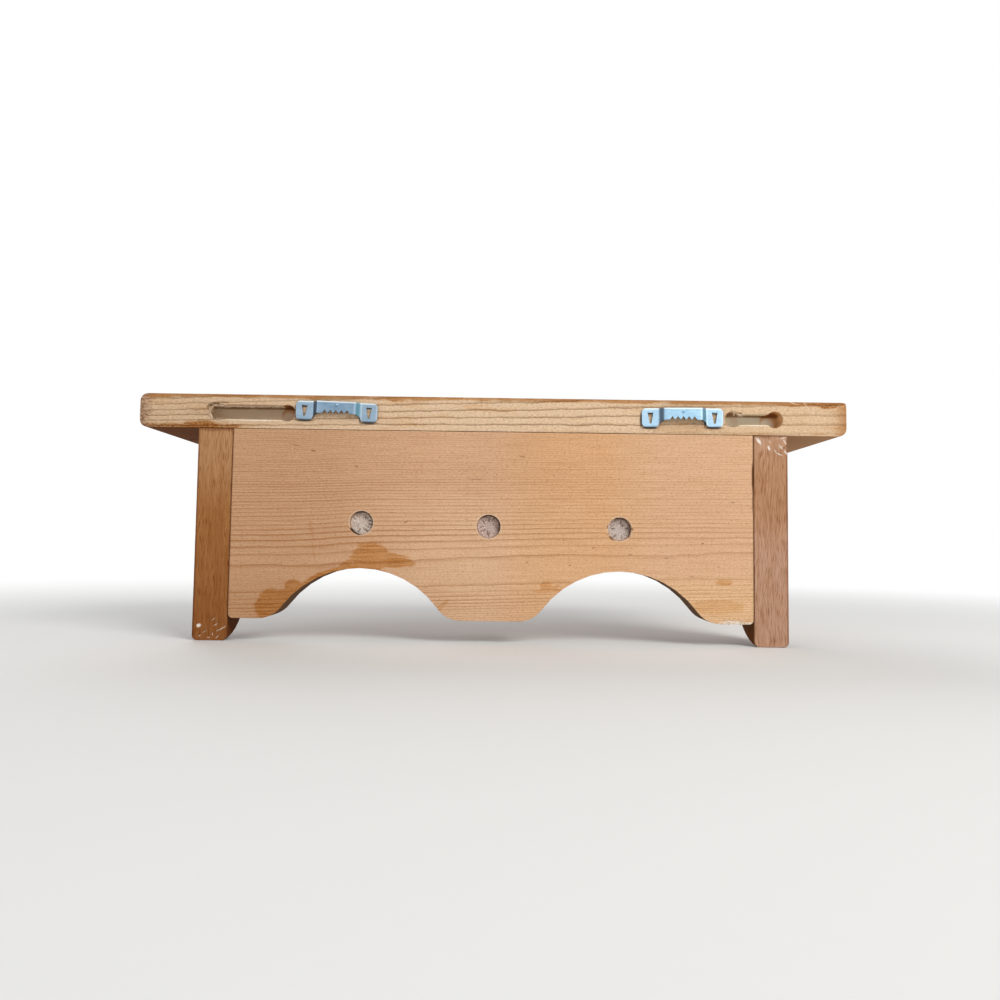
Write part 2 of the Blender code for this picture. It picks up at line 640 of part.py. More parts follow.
panel_middle = -PANEL_THICKNESS / 2
joint_level = SEAT + GLUE_GAP / 2
for side_name, side_sign in (("left", -1), ("right", 1)):
    bracket = brackets[side_name]
    dowel_x = side_sign * BRACKET_MIDDLE
    dowel_depths = (
        ("rear", -BRACKET_DOWEL_FROM_WALL),
        ("front", -BRACKET_DEPTH + BRACKET_DOWEL_FROM_NOSING),
    )
    for tag, dowel_y in dowel_depths:
        add_dowel(
            f"shelf_dowel_{side_name}_{tag}", (dowel_x, dowel_y, joint_level), (0, 0, 1),
            shelf_board, bracket)
    joint_x = side_sign * (PANEL_LENGTH / 2 + GLUE_GAP / 2)
    dowel_levels = (("upper", SEAT - PANEL_END_DOWEL_FROM_TOP), ("lower", PEG_HEIGHT))
    for tag, dowel_z in dowel_levels:
        add_dowel(
            f"panel_dowel_{side_name}_{tag}", (joint_x, panel_middle, dowel_z), (side_sign, 0, 0),
            bracket, back_panel)

for tag, step in (("left", -1), ("middle", 0), ("right", 1)):
    add_dowel(
        f"top_dowel_{tag}", (step * PANEL_TOP_DOWEL_SPACING, panel_middle, joint_level), (0, 0, 1),
        shelf_board, back_panel)
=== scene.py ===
"""Peg wall shelf, dressed and set in a plain studio.

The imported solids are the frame. The boards are softened copies of their solids with pine worked into
them, the pegs and the hangers are worked out anew as smooth surfaces, and torn fibres lie round the
slots, the holes and the panel's worn corner. Metres, +Z up. The wall side is +Y, and the camera looks
at that side, so its left is the shelf's right (+X).
"""

import math

import bmesh
import bpy
import numpy as np
from bpy.props import FloatProperty, FloatVectorProperty, IntProperty, PointerProperty
from mathutils import Matrix, Vector


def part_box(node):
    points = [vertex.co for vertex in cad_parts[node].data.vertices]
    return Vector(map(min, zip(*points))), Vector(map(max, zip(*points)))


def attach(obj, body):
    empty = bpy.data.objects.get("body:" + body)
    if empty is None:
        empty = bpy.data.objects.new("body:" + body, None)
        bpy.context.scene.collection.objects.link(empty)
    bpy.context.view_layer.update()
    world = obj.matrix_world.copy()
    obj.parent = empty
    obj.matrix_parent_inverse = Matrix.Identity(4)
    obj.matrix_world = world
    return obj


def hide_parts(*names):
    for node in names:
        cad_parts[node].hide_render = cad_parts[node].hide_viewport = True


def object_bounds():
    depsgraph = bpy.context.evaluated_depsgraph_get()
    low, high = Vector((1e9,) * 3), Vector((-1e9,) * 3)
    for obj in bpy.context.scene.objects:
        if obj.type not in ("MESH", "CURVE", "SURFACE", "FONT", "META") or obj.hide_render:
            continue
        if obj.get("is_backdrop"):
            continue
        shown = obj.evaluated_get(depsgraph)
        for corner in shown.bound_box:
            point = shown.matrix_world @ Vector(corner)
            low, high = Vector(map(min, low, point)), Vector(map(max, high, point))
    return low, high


bl_info = {
    "name": "Peg wall shelf",
    "version": (1, 0, 0),
    "blender": (4, 5, 0),
    "location": "View3D > Sidebar > Peg shelf",
    "description": "Dresses the packed peg wall shelf in pine and zinc and sets it in a studio",
    "category": "Object",
}

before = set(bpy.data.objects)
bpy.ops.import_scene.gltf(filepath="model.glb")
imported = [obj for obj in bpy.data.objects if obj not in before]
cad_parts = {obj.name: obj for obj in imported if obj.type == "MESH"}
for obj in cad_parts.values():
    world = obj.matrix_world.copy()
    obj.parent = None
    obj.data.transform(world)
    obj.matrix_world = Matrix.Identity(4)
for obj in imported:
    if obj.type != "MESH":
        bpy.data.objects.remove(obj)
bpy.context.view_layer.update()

MM = 0.001
WHITE = (1.0, 1.0, 1.0)
PEGS = ("peg_left", "peg_middle", "peg_right")

# An edge that bends more than SHARP is sharp, and faces that bend less than FLAT are one face
SHARP = math.radians(40)
FLAT = math.radians(0.3)

# Points closer than this are one: on a new grid, and on a copy of a solid
GRID_MERGE = 1e-7
SOLID_MERGE = 1e-6

# How fine the pegs' grids are: round, across the end, along the head's curves, along the shank
PEG_ROUND = 128
END_RINGS = 26
HEAD_STEPS = 18
SHANK_STEPS = 14

# How fine a hanger's grids are: a corner, a slope, a border beside the slits, a slit, a curl, a prong
CORNER_STEPS = 9
SLOPE_STEPS = 13
BORDER_STEPS = 3
SLIT_STEPS = 7
CURL_STEPS = 7
PRONG_STEPS = 6

# Rows and columns of the dimple, of a sliver and of the floor
DIMPLE_GRID = (8, 24)
SLIVER_GRID = (8, 6)
FLOOR_GRID = (24, 96)

# The size of a mark's frame along Y: so large that depth doesn't count
FAR = 100000.0

# Rounds of the sharp edges, and how square the upper edge at the shelf's left end is
BOARD_EDGE = 0.0005
BRACKET_EDGE = 0.0006
SHEET_EDGE = 0.00018
END_ROUND = 0.0042
END_POWER = 6.0

# A prong's root as a share of its slit's width, and how far it sits under the face and over the slit's edge
PRONG_ROOT = 0.94
PRONG_SINK = 0.00002
PRONG_LIFT = 0.00004

# How far the dimple sits under the bridge's face, and its middle below the upper edge
DIMPLE_SINK = 0.00003
DIMPLE_DROP = 0.002

# The slots' middle line and the radius of their entries and of the peg holes, in millimetres
SLOT_HEIGHT = -0.7
ENTRY_RADIUS = 4.75
HOLE_RADIUS = 6.65

# Where wood is torn, in millimetres: the right slot's outer end, its upper lip's ends and height, the
# left slot's entry, and the radius of the left peg hole's rim
RIGHT_SLOT_END = 155.9
RIGHT_LIP = (118.5, 153.5)
RIGHT_LIP_HEIGHT = 3.3
LEFT_ENTRY = -134.9
TORN_RIM = 6.8
FRAY_SEED = 31

# Marks on the rear faces, in millimetres: x, z, half length, half height, turn in degrees, strength
PANEL_STAINS = (
    (67.2, -81.6, 11.3, 8.4, 0, 0.80),
    (55.5, -81.6, 12.8, 3.2, 15, 0.75),
    (60.0, -84.6, 12.0, 2.0, 4, 0.75),
    (82.0, -86.4, 5.6, 2.6, -42, 0.70),
    (52.5, -82.5, 8.8, 0.55, 0, 0.95),
    (50.5, -80.0, 5.0, 0.5, 8, 0.75),
    (122.6, -108.0, 8.0, 9.4, 20, 0.85),
    (109.6, -98.4, 5.4, 5.0, 0, 0.75),
    (116.0, -102.5, 5.0, 3.6, 0, 0.8),
    (-30.5, -98.3, 8.4, 0.9, -3, 0.45),
    (-30.3, -95.6, 3.0, 2.7, 0, 0.50),
    (-35.0, -96.6, 3.4, 1.0, -35, 0.40),
    (-129.6, -92.3, 4.8, 1.9, 0, 0.55),
    (-125.7, -106.0, 15.0, 4.0, 0, 0.35),
    (28.7, -108.6, 6.5, 1.3, -46, 0.45),
    (101.0, -65.4, 6.5, 1.1, 78, 0.22),
    (99.4, -77.6, 4.5, 0.9, 82, 0.20),
)
PANEL_FLECKS = (
    (111.0, -18.7, 2.6, 0.35, 12, 0.5),
    (100.9, -21.8, 1.5, 0.35, 16, 0.7),
    (76.8, -30.3, 1.2, 0.30, 13, 0.6),
    (-16.1, -23.4, 1.8, 0.35, 9, 0.5),
    (9.8, -36.5, 3.1, 0.22, 1, 0.5),
    (48.2, -61.0, 1.3, 0.40, -27, 0.5),
    (-117.4, -70.8, 0.9, 0.35, -19, 0.7),
    (-56.5, -74.1, 0.9, 0.30, -19, 0.7),
    (-77.2, -77.7, 0.9, 0.30, 0, 0.7),
    (-134.5, -47.7, 1.2, 0.35, -11, 0.5),
    (-97.3, -79.1, 1.4, 0.25, 0, 0.5),
    (-126.3, -83.7, 0.9, 0.25, 0, 0.6),
    (-111.5, -89.5, 1.1, 0.25, 0, 0.6),
    (-19.7, -82.5, 0.8, 0.30, -32, 0.7),
    (-43.5, -84.0, 0.6, 0.35, 0, 0.7),
    (-67.0, -68.4, 1.9, 1.1, 40, 0.95),
    (-78.0, -63.2, 1.1, 0.5, 65, 0.8),
    (-64.4, -62.4, 1.1, 0.4, 80, 0.7),
    (-64.9, -66.2, 0.8, 0.4, -50, 0.6),
    (-76.6, -67.6, 1.0, 0.35, -40, 0.6),
    (-145.6, -33.5, 8.5, 0.55, 90, 1.0),
    (-145.4, -47.0, 6.0, 0.25, 90, 0.7),
)
PANEL_WORN_CORNER = (
    (-137.0, -114.9, 8.3, 1.2, 2, 1.0),
)
SHELF_STAINS = (
    (182.0, -8.9, 22.0, 1.7, 0, 0.85),
    (163.0, -8.2, 12.0, 2.4, 0, 1.0),
    (149.0, -8.8, 7.0, 1.4, 0, 0.8),
    (-187.5, 8.4, 12.0, 2.2, 0, 0.9),
    (-107.0, -6.6, 20.0, 2.6, 0, 0.30),
)
# Torn wood at the slots, with painted shade in the torn places and a painted shadow along the right slot's
# upper lip
SLOT_TEARS_AND_SHADE = (
    (157.2, 3.8, 3.4, 1.1, -14, 0.95),
    (151.6, 5.0, 2.4, 0.45, 0, 0.70),
    (160.6, 2.0, 1.0, 1.1, 0, 0.60),
    (136.0, 3.55, 18.5, 0.30, 0, 0.65),
    (166.8, 0.4, 4.4, 0.20, -12, 0.55),
    (166.2, -1.2, 3.4, 0.18, 6, 0.50),
    (-138.9, 2.5, 1.3, 0.7, 30, 0.75),
)
# Painted highlights along the lower lips of the slots' necks
SLOT_LIP_HIGHLIGHTS = (
    (135.5, -4.95, 18.0, 0.34, 0, 0.95),
    (-146.6, -4.10, 9.5, 0.34, 0, 0.95),
)
SHELF_TICKS = (
    (-107.3, -0.9, 1.15, 0.20, 104, 0.8),
    (-90.2, -8.2, 1.0, 0.20, 123, 0.6),
)
SHELF_SCUFFS = (
    (191.1, 3.3, 2.9, 0.14, 77, 0.5),
    (188.4, 5.7, 2.3, 0.14, 74, 0.6),
    (-176.5, 6.9, 3.6, 0.20, 52, 0.8),
    (-167.8, 9.2, 3.3, 0.30, 19, 0.6),
    (-193.0, 6.4, 2.4, 0.20, -48, 0.6),
)
RIGHT_BRACKET_CHIPS = (
    (161.7, -119.7, 1.25, 0.95, -25, 1.0),
    (153.6, -116.2, 1.15, 0.17, -40, 0.75),
    (152.2, -119.1, 1.2, 0.18, -28, 0.75),
    (148.8, -121.2, 2.2, 0.20, -31, 0.85),
    (151.2, -122.3, 0.8, 0.16, -48, 0.6),
    (158.3, -123.0, 1.3, 0.15, -35, 0.6),
    (161.0, -125.3, 0.6, 0.22, -27, 0.6),
    (153.9, -124.4, 0.8, 0.20, 88, 0.8),
    (151.3, -125.9, 1.05, 0.20, -46, 0.8),
    (156.0, -126.2, 0.75, 0.22, 3, 0.7),
)
LEFT_BRACKET_CHIPS = (
    (-148.6, -12.6, 2.0, 0.45, 56, 0.9),
    (-149.6, -12.9, 1.9, 0.55, 68, 0.95),
    (-154.8, -16.7, 1.3, 0.6, 66, 0.95),
    (-161.6, -16.2, 1.5, 0.28, 50, 0.9),
    (-162.0, -16.0, 1.2, 0.22, -35, 0.8),
    (-158.6, -18.6, 1.3, 0.28, 60, 0.7),
    (-160.9, -20.2, 1.6, 0.28, 22, 0.85),
    (-164.2, -18.9, 1.5, 0.40, 62, 0.9),
    (-162.9, -10.9, 1.7, 0.35, -14, 0.6),
    (-163.9, -13.2, 1.5, 0.35, 56, 0.7),
    (-155.4, -13.2, 1.0, 0.35, 40, 0.3),
)

# Painted shadows of a hanger's tabs on the shelf's edge, under their lower edges and beside their +X edges,
# as marks about its middle
TAB_SHADOWS = (
    (18.3, -5.60, 4.7, 0.70, 0, 0.90),
    (-17.7, -5.60, 4.7, 0.70, 0, 0.90),
    (23.2, -1.6, 0.55, 3.8, 0, 0.80),
    (-12.9, -3.0, 0.55, 2.6, 0, 0.80),
)

# Splinters at the slots, in millimetres: x and z of both ends, width
SPLINTERS = (
    (160.4, 0.4, 157.0, -5.4, 0.60),
    (161.9, 1.2, 160.0, -2.4, 0.40),
    (162.6, -1.4, 159.8, -0.2, 0.35),
    (153.4, 4.7, 149.8, 3.1, 0.50),
    (154.6, 2.5, 151.0, 3.2, 0.45),
    (159.0, 4.3, 155.2, 2.3, 0.35),
    (-137.3, 2.7, -140.4, 0.3, 0.45),
    (-138.2, 2.3, -141.2, 1.5, 0.35),
    (-136.9, 3.1, -138.6, 0.6, 0.35),
)

# Entries of the slots: x in millimetres, and how strong the painted shade on their far side is
SLOT_ENTRIES = ((116.2, 1.0), (LEFT_ENTRY, 0.25), (-158.3, 1.0))

# Brackets: node, side, chips, share of dust on the rear edge
BRACKETS = (
    ("bracket_left", -1, LEFT_BRACKET_CHIPS, 0.74),
    ("bracket_right", 1, RIGHT_BRACKET_CHIPS, 0.0),
)

# How far each hanger is turned from level
HANGER_TILTS = (("hanger_left", math.radians(0.6)), ("hanger_right", math.radians(-1.7)))

# The crown circle of the right arch in the rear plane, in millimetres: x, z, radius
RIGHT_ARCH = (73.2, -140.9, 53.9)

# Ring shapes: how dark a growth ring is from its early wood to its late wood
FINE_RING = ((0.0, 0.0), (0.57, 0.06), (0.80, 0.70), (0.91, 1.0), (1.0, 0.0))
BOLD_RING = ((0.0, 0.0), (0.68, 0.06), (0.87, 0.80), (0.94, 1.0), (1.0, 0.0))

# The studio's lamps: name, place, width, tint
LAMPS = (
    ("key", (-0.72, 0.80, 0.72), 0.7, (1.0, 0.985, 0.96)),
    ("fill", (1.05, 1.00, 0.45), 0.9, (0.96, 0.98, 1.0)),
    ("front", (0.55, -1.30, 0.95), 1.1, (1.0, 0.99, 0.97)),
)

# The camera's sensor in millimetres, and how far the floor lies under the brackets
SENSOR = 36.0
FLOOR_GAP = 0.0001


def colour(name, description, default):
    """A colour that the sidebar shows, in linear light."""
    return FloatVectorProperty(
        name=name, description=description, default=default, subtype='COLOR', size=3, min=0.0, max=1.0)


def length(name, description, default):
    """A length that the sidebar shows."""
    return FloatProperty(
        name=name, description=description, default=default, unit='LENGTH', subtype='DISTANCE',
        min=0.0, precision=5)


def amount(name, description, default):
    """A plain number over 0 that the sidebar shows."""
    return FloatProperty(name=name, description=description, default=default, min=0.0)


def count(name, description, default, most):
    """A number of like things that the sidebar shows."""
    return IntProperty(name=name, description=description, default=default, min=1, max=most)


def point(name, description, default):
    """A place that the sidebar shows."""
    return FloatVectorProperty(
        name=name, description=description, default=default, subtype='XYZ', unit='LENGTH', precision=5)


class PineColours(bpy.types.PropertyGroup):
    """Colours of the boards and pegs."""

    panel_rosy: colour("Panel, rosy", "Raw early wood at the panel's right end", (0.618, 0.370, 0.220))
    panel_golden: colour("Panel, golden", "Raw early wood at the panel's left end", (0.762, 0.490, 0.308))
    panel_line: colour("Panel, ring lines", "Raw late wood of the panel", (0.400, 0.180, 0.064))
    panel_stain: colour("Panel, stain", "What spilt stain leaves of the raw wood", (0.84, 0.64, 0.35))
    edge_cream: colour("Shelf edge, cream", "Raw early wood of the shelf's rear edge", (0.870, 0.665, 0.475))
    edge_line: colour("Shelf edge, lines", "Raw late wood of the shelf's rear edge", (0.290, 0.165, 0.075))
    slot_wood: colour("Slots", "Fresh wood in the keyhole slots", (1.000, 0.940, 0.800))
    stain_pale: colour("Stain on early wood", "Early wood of the shelf and brackets", (0.375, 0.160, 0.052))
    stain_dark: colour("Stain on late wood", "Late wood of the shelf and brackets", (0.200, 0.072, 0.021))
    bracket_rear: colour("Brackets, rear edge", "Stain on the brackets' rear edges", (0.455, 0.210, 0.080))
    dust: colour("Dust", "Dust on the left bracket's rear edge", (0.700, 0.480, 0.385))
    torn: colour("Torn wood", "Torn fibres and fresh chips", (0.800, 0.640, 0.480))
    peg_end: colour("Peg end", "Grey end grain of the tenons", (0.665, 0.578, 0.500))
    beech: colour("Dowels", "Plain beech of the hidden dowels", (0.600, 0.440, 0.280))


class PegSizes(bpy.types.PropertyGroup):
    """Sizes of the turned pegs; where a peg sits and how wide its head is follow its solid."""

    projection: length("Projection", "From the shoulder's seat to the tip", 0.0730)
    tenon: length("Tenon diameter", "Diameter of the tenon, snug in the panel", 0.01322)
    chamfer: length("Tenon chamfer", "Bevel round the tenon's end", 0.0004)
    shoulder: length("Shoulder diameter", "Diameter against the panel", 0.0175)
    shoulder_length: length("Shoulder length", "Straight part against the panel", 0.0050)
    edge: length("Shoulder edge", "Round of the shoulder's edge", 0.0004)
    neck: length("Neck diameter", "Thinnest part, behind the head", 0.0100)
    neck_to_tip: length("Neck to tip", "From the thinnest part to the tip", 0.0215)
    dome: length("Dome", "Height of the round front of the head", 0.0075)
    rim: length("Rim", "Straight edge of the head", 0.0020)
    marks: count("Drive marks", "Number of the lathe's marks in the tenon's end", 15, 60)
    mark_depth: length("Drive mark depth", "Depth of the lathe's marks in the tenon's end", 0.0008)
    mark_width: length("Drive mark width", "Half width of one of the lathe's marks", 0.00040)


class HangerSizes(bpy.types.PropertyGroup):
    """Sizes of the sawtooth hangers; where a hanger sits follows its solid."""

    sheet: length("Sheet", "Thickness of the sheet", 0.0009)
    gap: length("Gap", "Between the tabs and the shelf's edge", 0.0003)
    height: length("Height", "Height of a tab", 0.0105)
    tab: length("Tab width", "Width of a tab", 0.0096)
    corner: length("Corner", "Round of a tab's corners", 0.0024)
    ramp: length("Ramp", "Length of the slope between tab and bridge", 0.0025)
    rise: length("Rise", "Height of the bridge over the tabs", 0.0022)
    bend: length("Bend", "How far a bend's round reaches past the slope", 0.0005)
    bridge: length("Bridge height", "Height of the bridge down to its teeth", 0.0067)
    margin: length("Margin", "Plain bridge beside the teeth", 0.0030)
    pitch: length("Tooth pitch", "From tooth to tooth", 0.0031)
    tooth: length("Tooth depth", "Depth of a notch", 0.0020)
    slit_inset: length("Slit inset", "From a tab's edge to its slit", 0.0020)
    slit_wide: length("Slit, wide end", "Width of a slit at the prong's root", 0.0034)
    slit_narrow: length("Slit, narrow end", "Width of a slit at the prong's point", 0.0010)
    curl: length("Prong curl", "Radius of the turn at a prong's root", 0.0011)
    dimple: length("Dimple radius", "Radius of the dimple on the bridge", 0.0013)
    dimple_height: length("Dimple height", "Height of the dimple on the bridge", 0.0008)
    notches: count("Notches", "Number of notches in the bridge", 5, 15)
    zinc: colour("Bright zinc", "Blue zinc plating of the left hanger", (0.345, 0.570, 0.740))
    # The right hanger's zinc is the left one's, darkened as painted shade
    shaded_zinc: colour("Shaded zinc", "Blue zinc plating of the right hanger", (0.175, 0.285, 0.395))
    # Colour of the painted shade on each hanger's +X slope
    slope_shade: colour("Slope shade", "Plating on the outer slopes, shaded and dark", (0.040, 0.060, 0.086))


class StageSizes(bpy.types.PropertyGroup):
    """The floor, the lamps and the camera."""

    floor: colour("Floor", "Colour of the floor", (0.80, 0.80, 0.79))
    floor_radius: length("Floor radius", "Radius of the floor", 3.0)
    ambient: amount("Ambient light", "Strength of the even light", 0.335)
    key: amount("Key lamp", "Watts of the lamp at the camera's right", 11.8)
    fill: amount("Fill lamp", "Watts of the lamp at the camera's left", 3.3)
    front: amount("Front lamp", "Watts of the lamp on the peg side", 13.0)
    lens: amount("Lens", "Focal length for a 36 mm sensor, in millimetres", 28.07)
    camera: point("Camera", "Where the camera stands", (-0.00225, 0.43528, -0.07272))
    aim: point("Aim", "The point that the camera looks at", (-0.00405, 0.0, -0.04802))
    roll: FloatProperty(
        name="Roll", description="Turn of the camera about its line of sight", default=math.radians(0.769),
        subtype='ANGLE', unit='ROTATION')


class Value:
    """What a node puts out. Sums and blends on it add nodes to the same tree."""

    def __init__(self, tree, socket):
        self.tree = tree
        self.socket = socket

    def __add__(self, other):
        return self.tree.math('ADD', self, other)

    def __sub__(self, other):
        return self.tree.math('SUBTRACT', self, other)

    def __mul__(self, other):
        return self.tree.math('MULTIPLY', self, other)

    def __truediv__(self, other):
        return self.tree.math('DIVIDE', self, other)

    def __rtruediv__(self, other):
        return self.tree.math('DIVIDE', other, self)

    def __pow__(self, other):
        return self.tree.math('POWER', self, other)

    def __abs__(self):
        return self.tree.math('ABSOLUTE', self)

    def most(self, *others):
        """The largest of this number and others."""
        found = self
        for other in others:
            found = self.tree.math('MAXIMUM', found, other)
        return found

    def step(self, low, high):
        """0 at low, 1 at high and smooth between; low may be the larger one."""
        return self.tree.out("ShaderNodeMapRange", self, low, high, 0, 1, interpolation_type='SMOOTHSTEP')

    def spread(self, low, high):
        """A number from 0 to 1 spread evenly from low to high."""
        return self.tree.math('MULTIPLY_ADD', self, high - low, low)

    def within(self, low, high, soft):
        """1 where the number lies between low and high, smooth over the soft distance at both ends."""
        return self.step(low - soft, low + soft) * self.step(high + soft, high - soft)

    def mix(self, factor, other):
        """This colour with another one laid over it by a factor."""
        return self.tree.mix(factor, self, other)

    def tone(self, factor, share):
        """This colour brought to a share of itself by a factor."""
        return self.tree.mix(factor, self, share, 'MULTIPLY')


class Tree:
    """The nodes of a material or of the world, added call by call."""

    def __init__(self, owner):
        owner.use_nodes = True
        self.nodes = owner.node_tree.nodes
        self.links = owner.node_tree.links

    def feed(self, socket, value):
        """Link an output to a socket, or write a plain value on it."""
        if isinstance(value, Value):
            value = value.socket
        if isinstance(value, bpy.types.NodeSocket):
            self.links.new(value, socket)
        elif socket.type == 'RGBA':
            socket.default_value = (*value, 1.0)
        else:
            socket.default_value = value

    def add(self, kind, *inputs, **settings):
        """A new node with its settings, its first inputs fed in order."""
        node = self.nodes.new(kind)
        for setting, value in settings.items():
            setattr(node, setting, value)
        for socket, value in zip(node.inputs, inputs):
            self.feed(socket, value)
        return node

    def out(self, kind, *inputs, output=0, **settings):
        """What one output of a new node gives."""
        return Value(self, self.add(kind, *inputs, **settings).outputs[output])

    def math(self, operation, *values):
        """A sum on numbers."""
        return self.out("ShaderNodeMath", *values, operation=operation)

    def mix(self, factor, first, second, blend='MIX'):
        """Two colours mixed by a factor."""
        node = self.add("ShaderNodeMix", data_type='RGBA', blend_type=blend)
        for place, value in ((0, factor), (6, first), (7, second)):
            self.feed(node.inputs[place], value)
        return Value(self, node.outputs[2])

    def seen(self):
        """1 for the rays of the camera and of shiny or clear surfaces, 0 for those that light the shelf."""
        rays = self.nodes.new("ShaderNodeLightPath").outputs
        return Value(self, rays["Is Camera Ray"]).most(rays["Is Glossy Ray"], rays["Is Transmission Ray"])

    def show(self, output, factor, first, second):
        """Put out one shader where a factor is 0 and another where it is 1."""
        both = self.add("ShaderNodeMixShader", factor, first.outputs[0], second.outputs[0])
        self.feed(self.nodes[output].inputs["Surface"], both.outputs[0])


class Finish(Tree):
    """A Principled material.

    place is the Object coordinate in millimetres, and x, y and z are its parts.
    """

    def __init__(self, name):
        self.material = bpy.data.materials.new(name)
        super().__init__(self.material)
        self.shader = self.nodes["Principled BSDF"]
        metres = self.out("ShaderNodeTexCoord", output="Object")
        self.place = self.vector('MULTIPLY', metres, (1 / MM, 1 / MM, 1 / MM))
        self.x, self.y, self.z = self.parts(self.place)

    def vector(self, operation, *values):
        """A sum on vectors."""
        output = "Value" if operation == 'LENGTH' else "Vector"
        return self.out("ShaderNodeVectorMath", *values, output=output, operation=operation)

    def parts(self, vector):
        """The three parts of a vector."""
        return [Value(self, socket) for socket in self.add("ShaderNodeSeparateXYZ", vector).outputs]

    def attribute(self, name):
        """A number that the mesh keeps at its points."""
        return self.out("ShaderNodeAttribute", output="Fac", attribute_name=name)

    def noise(self, lengths, detail=2.0, shift=0.0, place=None):
        """Noise from 0 to 1 whose blobs have these lengths in millimetres along X, Y and Z."""
        place = self.place if place is None else place
        scaled = self.vector('MULTIPLY', place, tuple(1 / size for size in lengths))
        moved = self.vector('ADD', scaled, (shift, shift, shift))
        return self.out("ShaderNodeTexNoise", moved, 0.0, 1.0, detail, output="Fac")

    def ramp(self, value, stops):
        """A grey curve through (position, level) stops."""
        node = self.add("ShaderNodeValToRGB", value)
        points = node.color_ramp.elements
        while len(points) < len(stops):
            points.new(0.5)
        for point, (position, level) in zip(points, stops):
            point.position = position
            point.color = (level, level, level, 1.0)
        return Value(self, node.outputs["Color"])

    def rings(self, across, pith, spacing, shape, sway, wander):
        """Late wood, from 0 to 1, of growth rings round a pith line.

        The rings are the distance to the pith over the spacing. sway and wander are pairs of a
        distance and the three lengths of the noise that pushes the rings by it. Each ring has a
        strength of its own.
        """
        off = self.out("ShaderNodeCombineXYZ", across[0] - pith[0], across[1] - pith[1], 0.0)
        radius = self.vector('LENGTH', off)
        for (reach, lengths), shift in ((sway, 3.1), (wander, 7.7)):
            radius = radius + self.noise(lengths, 2.0, shift).spread(-reach, reach)
        turns = radius / spacing
        late = self.ramp(self.math('FRACT', turns), shape)
        own = self.add("ShaderNodeTexWhiteNoise", noise_dimensions='1D')
        self.feed(own.inputs["W"], self.math('FLOOR', turns))
        return late * Value(self, own.outputs["Value"]).spread(0.40, 1.0)

    def local(self, x, z, turn, size):
        """The place in a frame that stands at x and z, is turned about Y and has a size of its own."""
        return self.out(
            "ShaderNodeMapping", self.place, (x, 0.0, z), (0.0, turn, 0.0), size, vector_type='TEXTURE')

    def oval(self, x, z, wide, high, turn=0.0):
        """Distance from an axis along Y at x and z, in radii of an oval that is turned about it."""
        return self.vector('LENGTH', self.local(x, z, -turn, (wide, FAR, high)))

    def marks(self, rows, soft, ragged, grit):
        """The strongest of some marks on a rear face, each 1 times its strength inside and 0 outside.

        A mark is an oval in its own turned frame. Its edge is soft over that share of its size, and
        wanders by the ragged share with a noise of about the grit's length.
        """
        wander = self.noise((grit * 1.8, grit, grit * 0.7), 4.0, 1.3).spread(-ragged, ragged)
        found = 0.0
        for x, z, wide, high, turn, strength in rows:
            reach = self.oval(x, z, wide, high, math.radians(turn)) + wander
            found = (reach.step(1.0 + soft, 1.0 - soft) * strength).most(found)
        return found

    def relief(self, height, depth):
        """Bump of a height from 0 to 1 that stands for a depth in metres."""
        bump = self.nodes.new("ShaderNodeBump")
        bump.inputs["Distance"].default_value = depth
        self.feed(bump.inputs["Height"], height)
        self.feed(self.shader.inputs["Normal"], bump.outputs[0])

    def finish(self, tint, roughness, gloss=0.0):
        """Set the shader's colour, roughness and specular level and hand over the material."""
        self.feed(self.shader.inputs["Base Color"], tint)
        self.feed(self.shader.inputs["Roughness"], roughness)
        self.shader.inputs["Specular IOR Level"].default_value = gloss
        return self.material


def middle_of(node):
    """The middle of a solid as seen from behind: x and z."""
    low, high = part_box(node)
    return np.array(((low.x + high.x) / 2, (low.z + high.z) / 2))


def stained_pine(wood, late, pine):
    """The stain's two tones over the rings, clouded."""
    tint = wood.mix(late, pine.stain_pale, pine.stain_dark)
    return tint.tone(wood.noise((9, 9, 9), 3, 11).spread(0, 0.8), (0.78, 0.68, 0.56))


def slot_tint(wood, pine, ragged):
    """Fresh wood in the keyhole slots, darker in the right slot, with painted shade under their upper walls,
    in the undercuts and at the far side of the entries.
    """
    tint = wood.mix(ragged.spread(0, 0.4), pine.slot_wood, (0.84, 0.72, 0.60), 'MULTIPLY')
    tint = tint.tone(wood.x.step(-1, 1), (0.80, 0.69, 0.60))
    above = wood.z + wood.x.step(1, -1).spread(0, 0.85) + ragged
    # Painted shade on the upper walls, and deeper painted shade in the undercut under them
    tint = tint.tone(above.step(3.2, 3.8) * 0.8, (0.78, 0.66, 0.53))
    deep = above.step(2.7, 3.7) * wood.y.step(-4, -5.6)
    tint = tint.tone(deep * 0.85, (0.42, 0.30, 0.20))
    for entry, strength in SLOT_ENTRIES:
        # Painted shade on the far side of each entry
        far_side = wood.oval(entry + 1.5, -2.4, ENTRY_RADIUS, ENTRY_RADIUS).step(0.45, 1.15)
        inside = wood.oval(entry, SLOT_HEIGHT, ENTRY_RADIUS, ENTRY_RADIUS).step(1.30, 1.00)
        tint = tint.tone(far_side * inside * strength, (0.76, 0.49, 0.29))
    return tint


